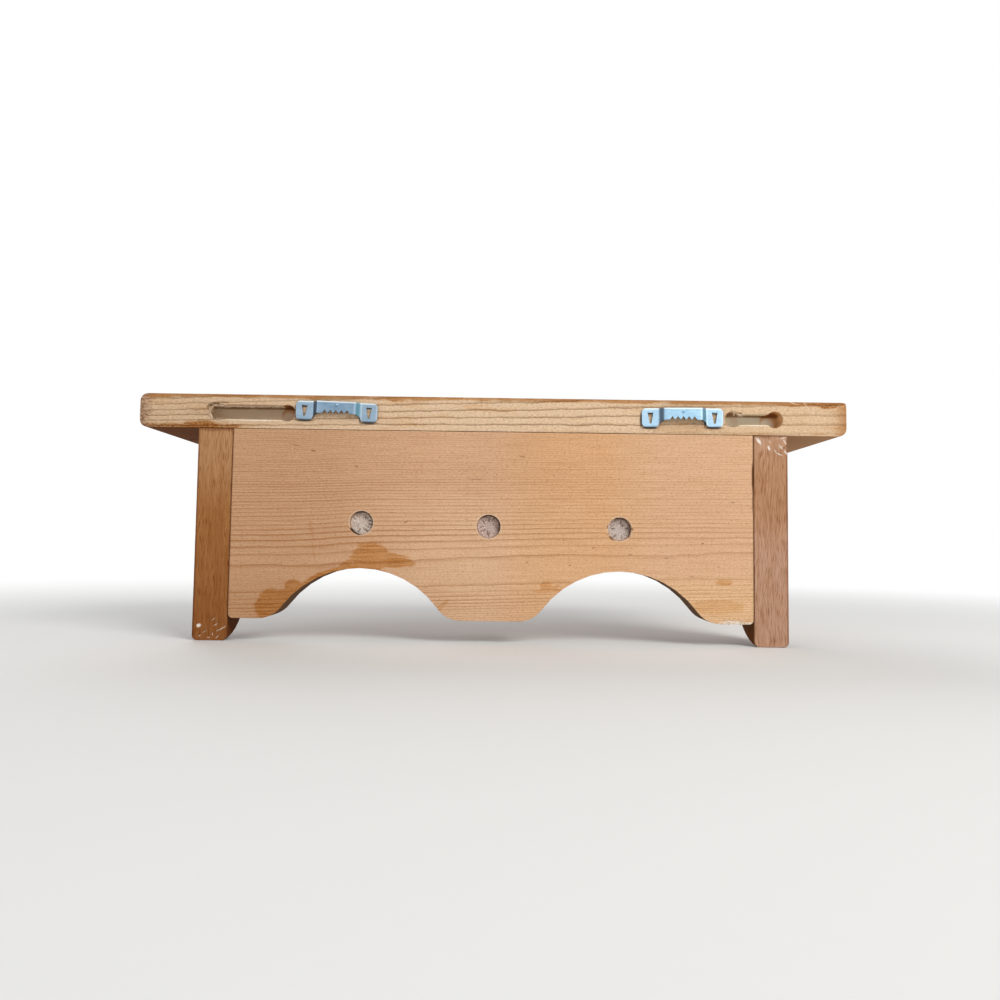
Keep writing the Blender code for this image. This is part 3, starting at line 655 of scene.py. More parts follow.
def shelf_edge(wood, pine, late, fibre, ragged):
    """Raw wood of the shelf's rear edge, with the stain that has crept over its upper rim and its ends."""
    x, z = wood.x, wood.z
    cloud = wood.noise((35, 12, 6), 3, 5)
    speckle = wood.noise((1.6, 0.8, 0.7), 3, 2)
    line = late * cloud.spread(0.60, 1.40) * x.step(-60, -150).spread(1, 0.65)
    raw = wood.mix(line, pine.edge_cream, pine.edge_line)
    raw = raw.tone(x.step(60, 175) * 0.55, (0.76, 0.71, 0.64))
    raw = raw.tone(fibre.spread(0, 0.70), (0.74, 0.66, 0.56))
    raw = raw.tone(speckle.step(0.38, 0.70), (0.80, 0.72, 0.64))
    raw = raw.tone(cloud.step(0.52, 0.72), (0.93, 0.82, 0.70))
    raw = raw.tone(x.step(-70, -130), (0.94, 0.92, 0.88))

    band = (cloud * 3.2 + (ragged * 2.4 + z)).step(9.6, 11) * ragged.spread(0.6, 1.2)
    drips = wood.marks(SHELF_STAINS, 0.35, 0.75, 4)
    left_end = (ragged * 9 + x).step(-183, -197)
    raw = raw.tone(band.most(drips, left_end), (0.66, 0.45, 0.26))
    raw = raw.tone(drips.step(0.45, 0.85) * speckle.step(0.42, 0.66), (0.60, 0.45, 0.32))
    raw = raw.mix(z.step(8.4, 9.3) * ragged.step(0.35, 0.60) * 0.7, pine.stain_pale)
    right_end = (ragged * 10 + x + speckle.spread(-5, 5)).step(195.5, 203) * 0.9
    chafe = wood.noise((2, 2, 1.3), 4, 12).step(0.34, 0.66)
    raw = raw.mix(right_end, wood.mix(chafe, (0.120, 0.056, 0.032), (0.540, 0.330, 0.210)))
    raw = raw.mix(wood.marks(SHELF_TICKS, 0.3, 0.1, 1), (0.130, 0.070, 0.035))
    # Painted shadows of the hangers' tabs on the edge
    for node, tilt in HANGER_TILTS:
        at_x, at_z = middle_of(node) / MM
        rows = [(at_x + along, at_z - along * math.sin(tilt) + up, *size) for along, up, *size in TAB_SHADOWS]
        raw = raw.mix(wood.marks(rows, 0.5, 0.25, 2), (0.085, 0.065, 0.052))
    # Torn wood at the slots, with painted shade in the torn places and along the right slot's upper lip
    raw = raw.mix(wood.marks(SLOT_TEARS_AND_SHADE, 0.35, 0.75, 1.3), (0.165, 0.090, 0.045))
    # Painted highlights along the slots' lower lips
    return raw.mix(wood.marks(SLOT_LIP_HIGHLIGHTS, 0.5, 0.5, 1.6), (0.930, 0.790, 0.600))


def shelf_finish(pine):
    """Pine of the shelf board: raw and cream at the rear edge and in the slots, stained elsewhere.

    The ring lines fan out from the right end to the left one.
    """
    wood = Finish("shelf_pine")
    x, y, z = wood.x, wood.y, wood.z
    apart = 4.2
    hinge = 14.5
    fan = apart / (x * -0.0071 + apart)
    level = (z + hinge) * fan - hinge
    late = wood.rings((y, level), (-66, 72), 3.1, BOLD_RING, (0.8, (70, 30, 30)), (0.60, (9, 3, 3)))
    fibre = wood.noise((28, 0.6, 0.6), 3)
    ragged = wood.noise((9, 2.4, 2.4), 4, 9)
    rear = y.step(-0.75, -0.15)
    slot = abs(z - SLOT_HEIGHT).step(7.6, 7.2) * y.step(-10.9, -10.6) * abs(x).step(172, 168)
    raw = shelf_edge(wood, pine, late, fibre, ragged)
    raw = raw.mix(y.step(-0.3, -0.9), slot_tint(wood, pine, ragged))
    tint = stained_pine(wood, late, pine).mix(rear.most(slot), raw)
    tint = tint.mix(wood.marks(SHELF_SCUFFS, 0.5, 0.8, 0.8) * rear, pine.torn)
    # Painted light on the underside at the left end, and painted shade on it at the right end
    beneath = z.step(-9.2, -9.5)
    tint = tint.mix(beneath * x.step(-140, -160) * 0.40, (0.620, 0.400, 0.230))
    tint = tint.tone(beneath * x.step(140, 160), (0.52, 0.42, 0.32))
    wood.relief(late * 0.5 + fibre, 0.00015)
    return wood.finish(tint, rear.spread(0.42, 0.65), 0.001)


def panel_rings(wood):
    """Ring lines of the panel.

    The pith lies before the lower third of the panel, so the lines are wide apart there and close
    together at the top. They climb to the left, most of all by the right arch.
    """
    slope = wood.z.step(-45, -92).spread(0.012, 0.036)
    above = wood.x * slope + wood.z + wood.x.step(118, 62) * -1.5 + 89.8
    above = above + wood.math('MINIMUM', above + 5.5, 0.0) * 0.6
    late = wood.rings(
        (wood.y, above), (-75, 0), 0.83, FINE_RING, (0.55, (150, 45, 45)), (0.10, (12, 5, 5)))
    return late ** abs(above).step(15, 5).spread(1, 2.4)


def panel_face(wood, pine, late, fibre):
    """Raw wood of the panel's rear face: golden to the left, rosy to the right, with patches and pores."""
    x, z = wood.x, wood.z
    cloud = wood.noise((45, 14, 14), 3, 4)
    grit = wood.noise((1.4, 0.5, 0.5), 2, 6)
    dash = wood.noise((3.2, 0.55, 0.55), 2, 6)
    raw = wood.mix((cloud * 90 + x).step(-40, 180), pine.panel_golden, pine.panel_rosy)
    raw = raw.mix(x.within(-55, 45, 50) * z.step(-30, -65) * 0.65, (0.800, 0.540, 0.355))
    raw = raw.tone(z.step(-82, -102) * x.step(70, 125), (0.92, 0.90, 0.86))
    raw = raw.mix(z.step(-84, -102) * x.step(-60, -105) * 0.7, (0.860, 0.580, 0.340))
    raw = raw.tone(x.within(-78, -14, 18), (1.00, 0.935, 0.825))
    raw = raw.tone(x.within(16, 76, 18) * z.step(-88, -72), (1.05, 1.06, 1.07))
    bold = z.step(-18, -55).spread(0.45, 1) * cloud.spread(0.50, 1.30)
    bold = bold * x.step(-130, 140).spread(0.62, 1.22)
    raw = raw.mix(late * bold, pine.panel_line)
    raw = raw.tone(fibre.step(0.38, 0.68), (0.91, 0.86, 0.80))
    raw = raw.tone(grit.step(0.42, 0.72), (0.83, 0.75, 0.68))
    return raw.tone(dash.step(0.60, 0.74) * 0.55, (0.52, 0.38, 0.30))


def panel_spill(wood, pine, raw, wander):
    """The raw face with the stain that has run round the right arch and dropped beside it."""
    arch_x, arch_z, radius = RIGHT_ARCH
    run = wander * -0.06 + wood.oval(arch_x, arch_z, radius, radius)
    run = run.step(1.014, 0.998) * wood.x.step(66, 76)
    spots = wood.marks(PANEL_STAINS, 0.11, 0.38, 3.6)
    spill = spots.most(run * 0.9) * wander.spread(0.80, 1.25)
    caught = spill * wood.noise((15, 1.1, 1.1), 3, 7).step(0.46, 0.66)
    return raw.tone(spill, pine.panel_stain).tone(caught, (0.80, 0.66, 0.50))


def panel_holes(wood, pine, raw, wander):
    """The raw face with torn rims round the peg holes, and how far a point lies in a hole.

    Painted shade at the lower side of the right peg stands for a dark gap.
    """
    bore = 0.0
    for peg in PEGS:
        peg_x, peg_z = middle_of(peg) / MM
        reach = wood.oval(peg_x, peg_z, HOLE_RADIUS, HOLE_RADIUS)
        rim = (wander * 0.14 + reach).step(1.19, 1.11)
        raw = raw.mix(rim * 0.40, pine.torn)
        bore = reach.step(1.10, 1.08).most(bore)
        # Painted shade at the right peg's lower side, standing for a dark gap
        if peg == "peg_right":
            aside = (wood.x - peg_x) * 0.57 + (wood.z - peg_z) * -0.82
            gap = reach.within(0.980, 1.050, 0.02) * aside.step(5.5, 6.1)
            raw = raw.mix(gap, (0.060, 0.030, 0.013))
    return raw, bore


def panel_finish(pine):
    """Pine of the back panel: raw behind and in the holes, stained in front and on its cut edges, with
    painted shade darkening the cut edges.
    """
    wood = Finish("panel_pine")
    y = wood.y
    late = panel_rings(wood)
    fibre = wood.noise((26, 0.55, 0.55), 3)
    wander = wood.noise((9, 5, 3), 4, 8)
    raw = panel_face(wood, pine, late, fibre)
    raw = panel_spill(wood, pine, raw, wander)
    raw, bore = panel_holes(wood, pine, raw, wander)
    raw = raw.mix(wood.marks(PANEL_FLECKS, 0.4, 0.3, 1), (0.190, 0.080, 0.035))
    raw = raw.tone(abs(wood.x).step(145.3, 145.8) * 0.75, (0.30, 0.20, 0.15))
    rear = y.step(-0.75, -0.15)
    # Painted shade darkens the cut edges
    stained = stained_pine(wood, late, pine).mix(y.within(-18.2, -0.4, 0.4) * 0.9, (0.145, 0.096, 0.065))
    worn = wood.marks(PANEL_WORN_CORNER, 0.35, 1.1, 1.3) * y.step(-2, -0.5)
    tint = stained.mix(rear.most(bore), raw).mix(worn * 0.8, (0.85, 0.77, 0.68))
    wood.relief(late * 0.5 + fibre, 0.00012)
    return wood.finish(tint, rear.spread(0.42, 0.65))


def bracket_finish(pine, side, chips, dusty):
    """Stained pine of a bracket, its grain upright, with chips and dust on its rear edge, and painted shade
    low on its sides and under the shelf.
    """
    wood = Finish("bracket_pine_left" if side < 0 else "bracket_pine_right")
    x, y, z = wood.x, wood.y, wood.z
    late = wood.rings(
        (x, y), (side * 128, -47), 2.4, BOLD_RING, (1.6, (40, 40, 120)), (0.30, (5, 5, 22)))
    lean = wood.noise((8, 9, 28), 2, 9 + side).spread(-3, 3)
    leaning = wood.vector('ADD', wood.place, wood.out("ShaderNodeCombineXYZ", lean, 0.0, 0.0))
    fibre = wood.noise((0.45, 0.55, 16), 3, 0, leaning)
    streak = wood.noise((1.8, 3, 26), 3, 4 + side, leaning)
    cloud = wood.noise((9, 14, 30), 3, 6 + side)
    fleck = wood.noise((0.32, 0.36, 7.5), 3, 6, leaning)
    wavy = wood.noise((0.9, 1.1, 13), 4, 2 + side, leaning)

    rear = y.step(-0.8, -0.2)
    behind = wood.mix(late * 0.2, pine.bracket_rear, pine.stain_dark)
    behind = behind.mix(streak.spread(dusty * 0.85, dusty * 1.15), pine.dust)
    behind = behind.mix(z.step(-62, -12) * (0.50 - dusty * 0.50), (0.720, 0.475, 0.290))
    behind = behind.tone(z.within(-64, -20, 14) * (dusty * 1.25), (0.86, 0.76, 0.61))
    tint = wood.mix(late, pine.stain_pale, pine.stain_dark).mix(rear, behind)
    tint = tint.tone(wavy.step(0.50, 0.68) * (0.2 + dusty * 0.7), (0.72, 0.60, 0.49))
    tint = tint.tone(streak.step(0.36, 0.68), (0.87, 0.81, 0.72))
    tint = tint.tone(cloud.spread(0, 0.6), (0.80, 0.72, 0.62))
    tint = tint.tone(fleck.step(0.48, 0.68), (0.60, 0.46, 0.36))
    tint = tint.tone(fibre.spread(0, 0.5), (0.78, 0.70, 0.60))
    tint = tint.tone(z.step(-40, -120) * (0.7 - dusty * 0.7), (0.72, 0.62, 0.52))

    # Painted shade low on the bracket, away from its rear edge
    foot = y.step(-0.8, -2.5) * z.step(-98, -112)
    tint = tint.tone(foot * 0.8, (0.50, 0.42, 0.36))
    # The outer faces are darker, and painted shade darkens the top under the shelf
    outer = (x * side).step(164, 165)
    shade_under_shelf = (cloud * 5 + z).step(-9.5, -7.5)
    tint = tint.tone(outer.most(shade_under_shelf) * 0.65, (0.42, 0.27, 0.22))
    chip = wood.marks(chips, 0.40, 0.55, 0.9) * rear
    tint = tint.mix(chip, (0.860, 0.770, 0.680))
    wood.relief(late * 0.3 + fibre - chip, 0.00018)
    return wood.finish(tint, rear.spread(0.42, 0.55), 0.004)


def peg_finish(pine):
    """Turned birch: stained outside the panel, pale grey end grain with dark cuts at the tenon's end.

    The mesh's drive_mark attribute says how deep the lathe has cut, rim how near a point lies to the end's
    edge, and far_side how far it lies towards the upper left, where the end gets painted shade and a painted
    shadow of the rim.
    """
    wood = Finish("peg_birch")
    fibre = wood.noise((0.5, 18, 0.5), 3)
    cloud = wood.noise((6, 25, 6), 2, 3)
    turning = wood.noise((30, 0.35, 30), 1, 5)
    speck = wood.noise((0.8, 3, 0.8), 3, 2)
    crushed = wood.noise((0.75, 3, 0.55), 3, 8)
    rim = wood.attribute("rim")
    side = wood.attribute("far_side")
    cut = wood.attribute("drive_mark")

    stained = wood.mix(fibre, pine.stain_pale, pine.stain_dark)
    stained = stained.tone(cloud.spread(0, 0.6), (0.80, 0.70, 0.58))
    end = wood.mix(speck.step(0.45, 0.75), pine.peg_end, (0.440, 0.345, 0.295))
    end = end.tone(cloud.spread(0, 0.5), (0.88, 0.78, 0.76))
    end = end.tone(wood.x.within(-30, 30, 9), (0.84, 0.75, 0.78))
    end = end.tone(wood.x.step(-30, -50), (0.88, 0.88, 0.92))
    # Painted shade towards the upper left of the end
    end = end.tone(side.step(-0.20, 0.70) * 0.60, (0.66, 0.58, 0.54))
    chalk = crushed.step(0.48, 0.68) * rim.step(0.05, 0.40)
    end = end.mix(chalk * 0.75, (0.890, 0.800, 0.740))
    grime = crushed.step(0.46, 0.30) * rim.step(0.25, 0.70)
    end = end.mix(grime * 0.60, (0.270, 0.190, 0.150))
    # Painted shadow of the rim on the end's upper left
    rim_shadow = (crushed * -0.40 + (rim + 0.20)).step(0.72, 0.98) * side.step(-0.15, 0.45)
    end = end.tone(rim_shadow, (0.24, 0.18, 0.14))
    end = end.mix(cut.step(0.10, 1), (0.240, 0.170, 0.135))
    inside = wood.y.step(-19.4, -18.8)
    wood.relief(fibre + turning * 0.6, 0.00010)
    return wood.finish(stained.mix(inside, end), inside.spread(0.38, 0.75), 0.25)


def torn_finish(pine):
    """Torn fibres: pale wood with darker strands."""
    wood = Finish("torn_wood")
    strand = wood.noise((2, 0.35, 0.35), 3)
    tint = wood.mix(strand.step(0.35, 0.70), pine.torn, (0.400, 0.250, 0.140))
    wood.relief(strand, 0.00008)
    return wood.finish(tint, 0.8)


def zinc_finish(name, hanger, zinc, node, tilt):
    """Blue zinc plating: cloudy, rubbed along the strip, with painted highlights along its edges and painted
    shade along its lower edge, on the slopes and on the cut edges.

    The sheet's outer face is worked out as in its mesh, so a point's depth under it tells the cut edges.
    """
    metal = Finish(name)
    middle_x, middle_z = middle_of(node) / MM
    along, out, up = metal.parts(metal.local(middle_x, middle_z, tilt, (1, 1, 1)))
    bend, foot, end = (place / MM for place in stations(hanger))
    reach = hanger.bend / MM
    fall = abs(along).step(bend - reach, foot + reach)
    top = (hanger.gap + hanger.sheet + hanger.rise) / MM
    depth = fall.spread(top, top - hanger.rise / MM) - out

    cloud = metal.noise((5, 3, 3), 3)
    rub = metal.noise((9, 0.25, 0.25), 2, 4)
    tint = metal.mix(cloud.step(0.25, 0.75), zinc, (0.62, 0.72, 0.80), 'MULTIPLY')
    tint = tint.mix(fall.spread(0, 0.14), (0.80, 0.92, 1.0))
    tint = tint.mix(rub.spread(0, 0.22), (0.78, 0.90, 1.0))
    glint = up.step(4.2, 5.1) * 0.8
    for first, last in ((-end, -end + 0.7), (-foot - 0.8, -foot - 0.3), (0.3 - bend, 0.9 - bend)):
        glint = glint.most(along.within(first, last, 0.3) * 0.28)
    tint = tint.mix(glint, (0.88, 0.97, 1.0))
    # Painted shade along the lower edge
    tint = tint.tone(up.step(-4.35, -5.15) * 0.7, (0.26, 0.32, 0.38))
    # Painted shade on the slopes: dark on the +X one, teal on the -X one
    tint = tint.mix(along.within(bend, foot, 0.45) * 0.9, hanger.slope_shade)
    tint = tint.mix(along.within(-foot, -bend, 0.45) * 0.75, (0.075, 0.220, 0.275))
    # Painted shade on the cut edges, found by their depth under the outer face
    tint = tint.mix(depth.step(0.12, 0.32) * 0.95, (0.030, 0.043, 0.056))
    metal.shader.inputs["Metallic"].default_value = 0.7
    metal.relief(rub + cloud * 0.5, 0.00002)
    return metal.finish(tint, cloud.spread(0.26, 0.44), 0.5)


def beech_finish(pine):
    """Plain beech of a dowel: straight grain with short flecks."""
    wood = Finish("dowel_beech")
    fibre = wood.noise((0.5, 0.5, 14), 3)
    fleck = wood.noise((0.6, 0.6, 2.5), 1, 5)
    tint = wood.mix(fibre.spread(0, 0.5), pine.beech, (0.76, 0.70, 0.62), 'MULTIPLY')
    tint = tint.mix(fleck.step(0.62, 0.72) * 0.5, (0.310, 0.180, 0.090))
    wood.relief(fibre, 0.00006)
    return wood.finish(tint, 0.6)


def rework(mesh, merge, work):
    """Merge a mesh's doubles, do one more job on its bmesh and shade it smooth but for its sharp edges."""
    body = bmesh.new()
    body.from_mesh(mesh)
    bmesh.ops.remove_doubles(body, verts=body.verts, dist=merge)
    work(body)
    body.to_mesh(mesh)
    body.free()
    mesh.shade_smooth()
    mesh.set_sharp_from_angle(angle=SHARP)
    return mesh


def turn_outwards(body):
    """Turn the faces of closed shells outwards."""
    bmesh.ops.recalc_face_normals(body, faces=body.faces)


def turn_to_wall(body):
    """Turn the faces of an open sheet and of its prongs to the wall side."""
    body.normal_update()
    facing_in = [face for face in body.faces if face.normal.y < -0.2 or face.normal.z > 0.9]
    bmesh.ops.reverse_faces(body, faces=facing_in)


def join_flats(body):
    """Join the triangles of flat faces."""
    bmesh.ops.dissolve_limit(body, angle_limit=FLAT, verts=body.verts, edges=body.edges)


def surface(name, points, faces, turn=turn_outwards):
    """A mesh of a grid's points and faces, its poles merged and its faces turned."""
    mesh = bpy.data.meshes.new(name)
    mesh.from_pydata(points.reshape(-1, 3).tolist(), [], faces.reshape(-1, 4).tolist())
    return rework(mesh, GRID_MERGE, turn)


def merged_copy(node, name):
    """A copy of a solid's mesh with its loose triangles merged into flat faces."""
    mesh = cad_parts[node].data.copy()
    mesh.name = name
    return rework(mesh, SOLID_MERGE, join_flats)


def grid_faces(rows, columns, closed):
    """Quads between neighbours of a grid that is rows long and columns wide.

    A closed grid joins its last column to its first.
    """
    i = np.arange(rows - 1)[:, None]
    j = np.arange(columns if closed else columns - 1)[None, :]
    near = i * columns
    far = near + columns
    after = (j + 1) % columns
    return np.stack((near + j, near + after, far + after, far + j), axis=-1)


def full_turn(count):
    """Angles of a full turn, evenly apart."""
    return np.linspace(0.0, 2 * math.pi, count, endpoint=False)


def points_of(mesh):
    """The places of a mesh's points, one to a row."""
    places = np.empty(len(mesh.vertices) * 3)
    mesh.vertices.foreach_get("co", places)
    return places.reshape(-1, 3)


def note(mesh, name, values):
    """Keep a number at each of a mesh's points."""
    mesh.attributes.new(name, 'FLOAT', 'POINT').data.foreach_set("value", values)


def add_piece(name, mesh, material, nodes=()):
    """Put a mesh into the scene as a piece that rides on the shelf and stands for some nodes."""
    piece = bpy.data.objects.new(name, mesh)
    bpy.context.scene.collection.objects.link(piece)
    mesh.materials.clear()
    mesh.materials.append(material)
    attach(piece, "root")
    if nodes:
        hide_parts(*nodes)
    return piece


def soften(piece, width):
    """Round a piece's sharp edges."""
    bevel = piece.modifiers.new("soft edges", 'BEVEL')
    bevel.width = width
    bevel.segments = 3
    bevel.limit_method = 'ANGLE'
    bevel.angle_limit = SHARP
    bevel.harden_normals = True


def lay_board(node, material, edge):
    """Lay a softened copy of a solid over it, and hand over the copy's mesh."""
    name = f"{node}_wood"
    piece = add_piece(name, merged_copy(node, name), material, (node,))
    soften(piece, edge)
    return piece.data


def square_up(mesh, node, reach, power):
    """Make the round upper edge of a solid's left end squarer.

    A point within reach of the edge moves away from the round's axis, from the circle x^2 + z^2 = 1
    to the rounder square x^n + z^n = 1, where n is the power.
    """
    low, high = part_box(node)
    places = points_of(mesh)
    x = np.clip((low.x + reach - places[:, 0]) / reach, 0.0, None)
    z = np.clip((places[:, 2] - high.z + reach) / reach, 0.0, None)
    inside = (x > 1e-4) & (z > 1e-4)
    away = np.where(inside, np.hypot(x, z), 1.0)
    grow = np.where(inside, ((x / away) ** power + (z / away) ** power) ** (-1.0 / power), 1.0)
    places[inside, 0] = low.x + reach - (x * grow)[inside] * reach
    places[inside, 2] = high.z - reach + (z * grow)[inside] * reach
    mesh.vertices.foreach_set("co", places.ravel())
    mesh.update()


def peg_profile(peg, head):
    """Radius and height over the shoulder's seat along a peg, from its tip to its tenon.

    The head is a quarter ellipse, a straight rim and a hollow quarter ellipse down to the neck. The
    shank widens evenly from the neck to the shoulder, whose edge is a quarter circle.
    """
    quarter = np.linspace(0.0, math.pi / 2, HEAD_STEPS)
    neck = peg.neck / 2
    shoulder = peg.shoulder / 2
    rim_top = peg.projection - peg.dome
    rim_low = rim_top - peg.rim
    neck_height = peg.projection - peg.neck_to_tip
    edge = peg.edge * (1.0 - np.sin(quarter[::3]))
    dome = (head * np.sin(quarter), rim_top + peg.dome * np.cos(quarter))
    flare = (head - (head - neck) * np.sin(quarter), neck_height + (rim_low - neck_height) * np.cos(quarter))
    shank = (
        np.linspace(neck, shoulder, SHANK_STEPS),
        np.linspace(neck_height, peg.shoulder_length, SHANK_STEPS))
    seat = (shoulder - edge[::-1], edge)
    tenon = ([peg.tenon / 2], [0.0])
    radius, height = zip(dome, flare, shank, seat, tenon)
    return np.concatenate(radius), np.concatenate(height)


def drive_marks(radius, angle, peg, seed):
    """Depth of the lathe's drive marks over a tenon's end.

    Each mark is a short cut that leans a little from the radius: a bell across its width, level along
    its length. The deepest wins.
    """
    draw = np.random.default_rng(seed)
    count = peg.marks
    turn = (np.arange(count) + draw.uniform(-0.5, 0.5, count)) * 2 * math.pi / count
    reach = peg.tenon / 2
    start = reach * draw.uniform(0.30, 0.62, count)
    end = np.minimum(start + reach * draw.uniform(0.22, 0.45, count), 0.93 * reach)
    depth = draw.uniform(0.35, 1.0, count)
    width = peg.mark_width * draw.uniform(0.5, 1.5, count)
    radius = radius[..., None]
    bent = turn + draw.uniform(-0.5, 0.5, count) * (radius / reach - 0.5)
    aside = (angle[..., None] - bent + math.pi) % (2 * math.pi) - math.pi
    bell = np.exp(-(aside * radius / width) ** 2)
    soft = peg.mark_width / 2
    after = 1.0 / (1.0 + np.exp(-(radius - start) / soft))
    before = 1.0 / (1.0 + np.exp((radius - end) / soft))
    return peg.mark_depth * (depth * bell * after * before).max(axis=-1)


def turned_peg(name, peg, node, seed):
    """A peg turned about its axis: the profile's radius carried round by an angle.

    The tenon ends in a chamfer and a disc of rings that the drive marks cut into.
    """
    low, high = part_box(node)
    axis_x, axis_z = middle_of(node)
    radius, height = peg_profile(peg, (high.x - low.x) / 2)
    seat = low.y + peg.projection
    end = seat - high.y
    flat = np.linspace(peg.tenon / 2 - peg.chamfer, 0.0, END_RINGS)
    radius = np.concatenate((radius, [peg.tenon / 2], flat))
    height = np.concatenate((height, [end + peg.chamfer], np.full(len(flat), end)))
    ring, turn = np.meshgrid(radius, full_turn(PEG_ROUND), indexing='ij')
    level = height[:, None] + np.zeros_like(turn)
    disc = slice(-len(flat), None)
    level[disc] += drive_marks(ring[disc], turn[disc], peg, seed)
    points = np.stack((axis_x + ring * np.cos(turn), seat - level, axis_z + ring * np.sin(turn)), axis=-1)
    mesh = surface(name, points, grid_faces(*ring.shape, True))

    x, y, z = points_of(mesh).T
    reach = np.hypot(x - axis_x, z - axis_z)
    depth = drive_marks(reach, np.arctan2(z - axis_z, x - axis_x), peg, seed) / peg.mark_depth
    note(mesh, "drive_mark", np.where(y > seat - end - 2 * peg.mark_depth, depth, 0.0))
    note(mesh, "rim", 2 * reach / peg.tenon)
    # far_side leads the painted shade and painted rim shadow on the tenon's end
    note(mesh, "far_side", (z - axis_z - 0.8 * (x - axis_x)) / (0.64 * peg.tenon))
    return mesh


def stations(hanger):
    """Distances from a hanger's middle to its bridge's bend, to the slope's foot and to its end."""
    bend = hanger.notches * hanger.pitch / 2 + hanger.margin
    foot = bend + hanger.ramp
    return bend, foot, foot + hanger.tab


def hanger_outline(hanger, along):
    """Lower and upper edge of a hanger's strip over the distance from its middle.

    The bridge's lower edge is a row of notches, a slope leads down to the tab, and the tab's corners
    are quarter circles.
    """
    bend, foot, end = stations(hanger)
    top = hanger.height / 2
    corner = hanger.corner
    low = top - hanger.bridge
    wave = 1.0 - 2.0 * np.abs((along / hanger.pitch + 0.5 * (hanger.notches % 2)) % 1.0 - 0.5)
    toothed = along <= hanger.notches * hanger.pitch / 2
    bridge = low + np.where(toothed, hanger.tooth * wave, 0.0)
    slope = np.interp(along, (bend, foot), (low, corner - top))
    past_end = np.clip(along - (end - corner), 0.0, corner)
    past_foot = np.clip(foot + corner - along, 0.0, corner)
    turn_in = corner - np.sqrt(corner ** 2 - np.maximum(past_end, past_foot) ** 2)
    lower = np.where(along <= bend, bridge, np.where(along <= foot, slope, turn_in - top))
    upper = top - corner + np.sqrt(corner ** 2 - past_end ** 2)
    return lower, upper


def hanger_sheet(hanger):
    """A hanger's outer face as a grid, lying along X and facing +Y: points and quads.

    One parameter runs along the strip, the other from its lower to its upper edge. The face rises
    from the tabs to the bridge in a smooth step, and the quads inside the slits are left out.
    """
    bend, foot, end = stations(hanger)
    middle = (foot + end) / 2
    quarter = np.linspace(0.0, math.pi / 2, CORNER_STEPS)
    before = np.unique(np.round(np.concatenate((
        np.arange(hanger.notches + 1) * hanger.pitch / 2,
        np.linspace(bend - hanger.bend, foot + hanger.bend, SLOPE_STEPS),
        (bend, foot),
        foot + hanger.corner * (1.0 - np.cos(quarter)))), 6))
    after = end - hanger.corner * (1.0 - np.sin(quarter))
    half = np.concatenate((before, (middle, middle), after))
    along = np.concatenate((-half[:0:-1], half))
    lower, upper = hanger_outline(hanger, np.abs(along))

    inset = hanger.slit_inset / hanger.height
    share = np.concatenate((
        np.linspace(0.0, inset, BORDER_STEPS),
        np.linspace(inset, 1.0 - inset, SLIT_STEPS)[1:-1],
        np.linspace(1.0 - inset, 1.0, BORDER_STEPS)))
    x = np.repeat(along[:, None], len(share), axis=1)
    z = lower[:, None] + share * (upper - lower)[:, None]
    slit = np.interp(share, (inset, 1.0 - inset), (hanger.slit_narrow / 2, hanger.slit_wide / 2))
    right = len(half) - 1 + len(before)
    left = len(along) - 2 - right
    quads = grid_faces(*x.shape, False)
    kept = np.ones(quads.shape[:2], dtype=bool)
    for column in (left, right):
        x[column] -= slit
        x[column + 1] += slit
        kept[column, BORDER_STEPS - 1:len(share) - BORDER_STEPS] = False
    fall = np.clip((np.abs(x) - bend + hanger.bend) / (hanger.ramp + 2 * hanger.bend), 0.0, 1.0)
    y = hanger.gap + hanger.sheet + hanger.rise * (1.0 - fall * fall * (3.0 - 2.0 * fall))
    return np.stack((x, y, z), axis=-1), quads[kept]


def hanger_prong(hanger, side):
    """The outer face of a prong: a strip that turns in at a slit's upper edge and tapers into the wood.

    Its path is a quarter circle from the sheet's face, then a straight run inwards.
    """
    foot, end = stations(hanger)[1:]
    depth = hanger.height - 2 * hanger.slit_inset - hanger.curl
    turn = np.linspace(0.0, math.pi / 2, CURL_STEPS)
    run = np.linspace(hanger.curl, depth, PRONG_STEPS)[1:]
    inward = np.concatenate((hanger.curl * (1.0 - np.cos(turn)), run))[:, None]
    drop = np.concatenate((hanger.curl * np.sin(turn), np.full(len(run), hanger.curl)))[:, None]
    across = np.array((-0.5, 0.0, 0.5))[None, :]
    root = hanger.slit_wide * PRONG_ROOT
    width = root + (hanger.slit_narrow - root) * np.clip(inward / depth, 0.0, 1.0)
    x = side * (foot + end) / 2 + across * width
    y = hanger.gap + hanger.sheet - PRONG_SINK - inward + 0.0 * across
    z = hanger.height / 2 - hanger.slit_inset + PRONG_LIFT - drop + 0.0 * across
    return np.stack((x, y, z), axis=-1), grid_faces(*x.shape, False)


def hanger_dimple(hanger):
    """The dimple on the bridge: a dome whose height falls off as a cosine from its middle."""
    rows, columns = DIMPLE_GRID
    radius = np.linspace(0.0, 1.0, rows)[:, None]
    angle = full_turn(columns)[None, :]
    foot = hanger.gap + hanger.sheet + hanger.rise - DIMPLE_SINK
    x = hanger.dimple * radius * np.cos(angle)
    z = hanger.height / 2 - DIMPLE_DROP + hanger.dimple * radius * np.sin(angle)
    y = foot + hanger.dimple_height * (0.5 + 0.5 * np.cos(math.pi * radius)) + 0.0 * angle
    return np.stack((x, y, z), axis=-1), grid_faces(*x.shape, True)


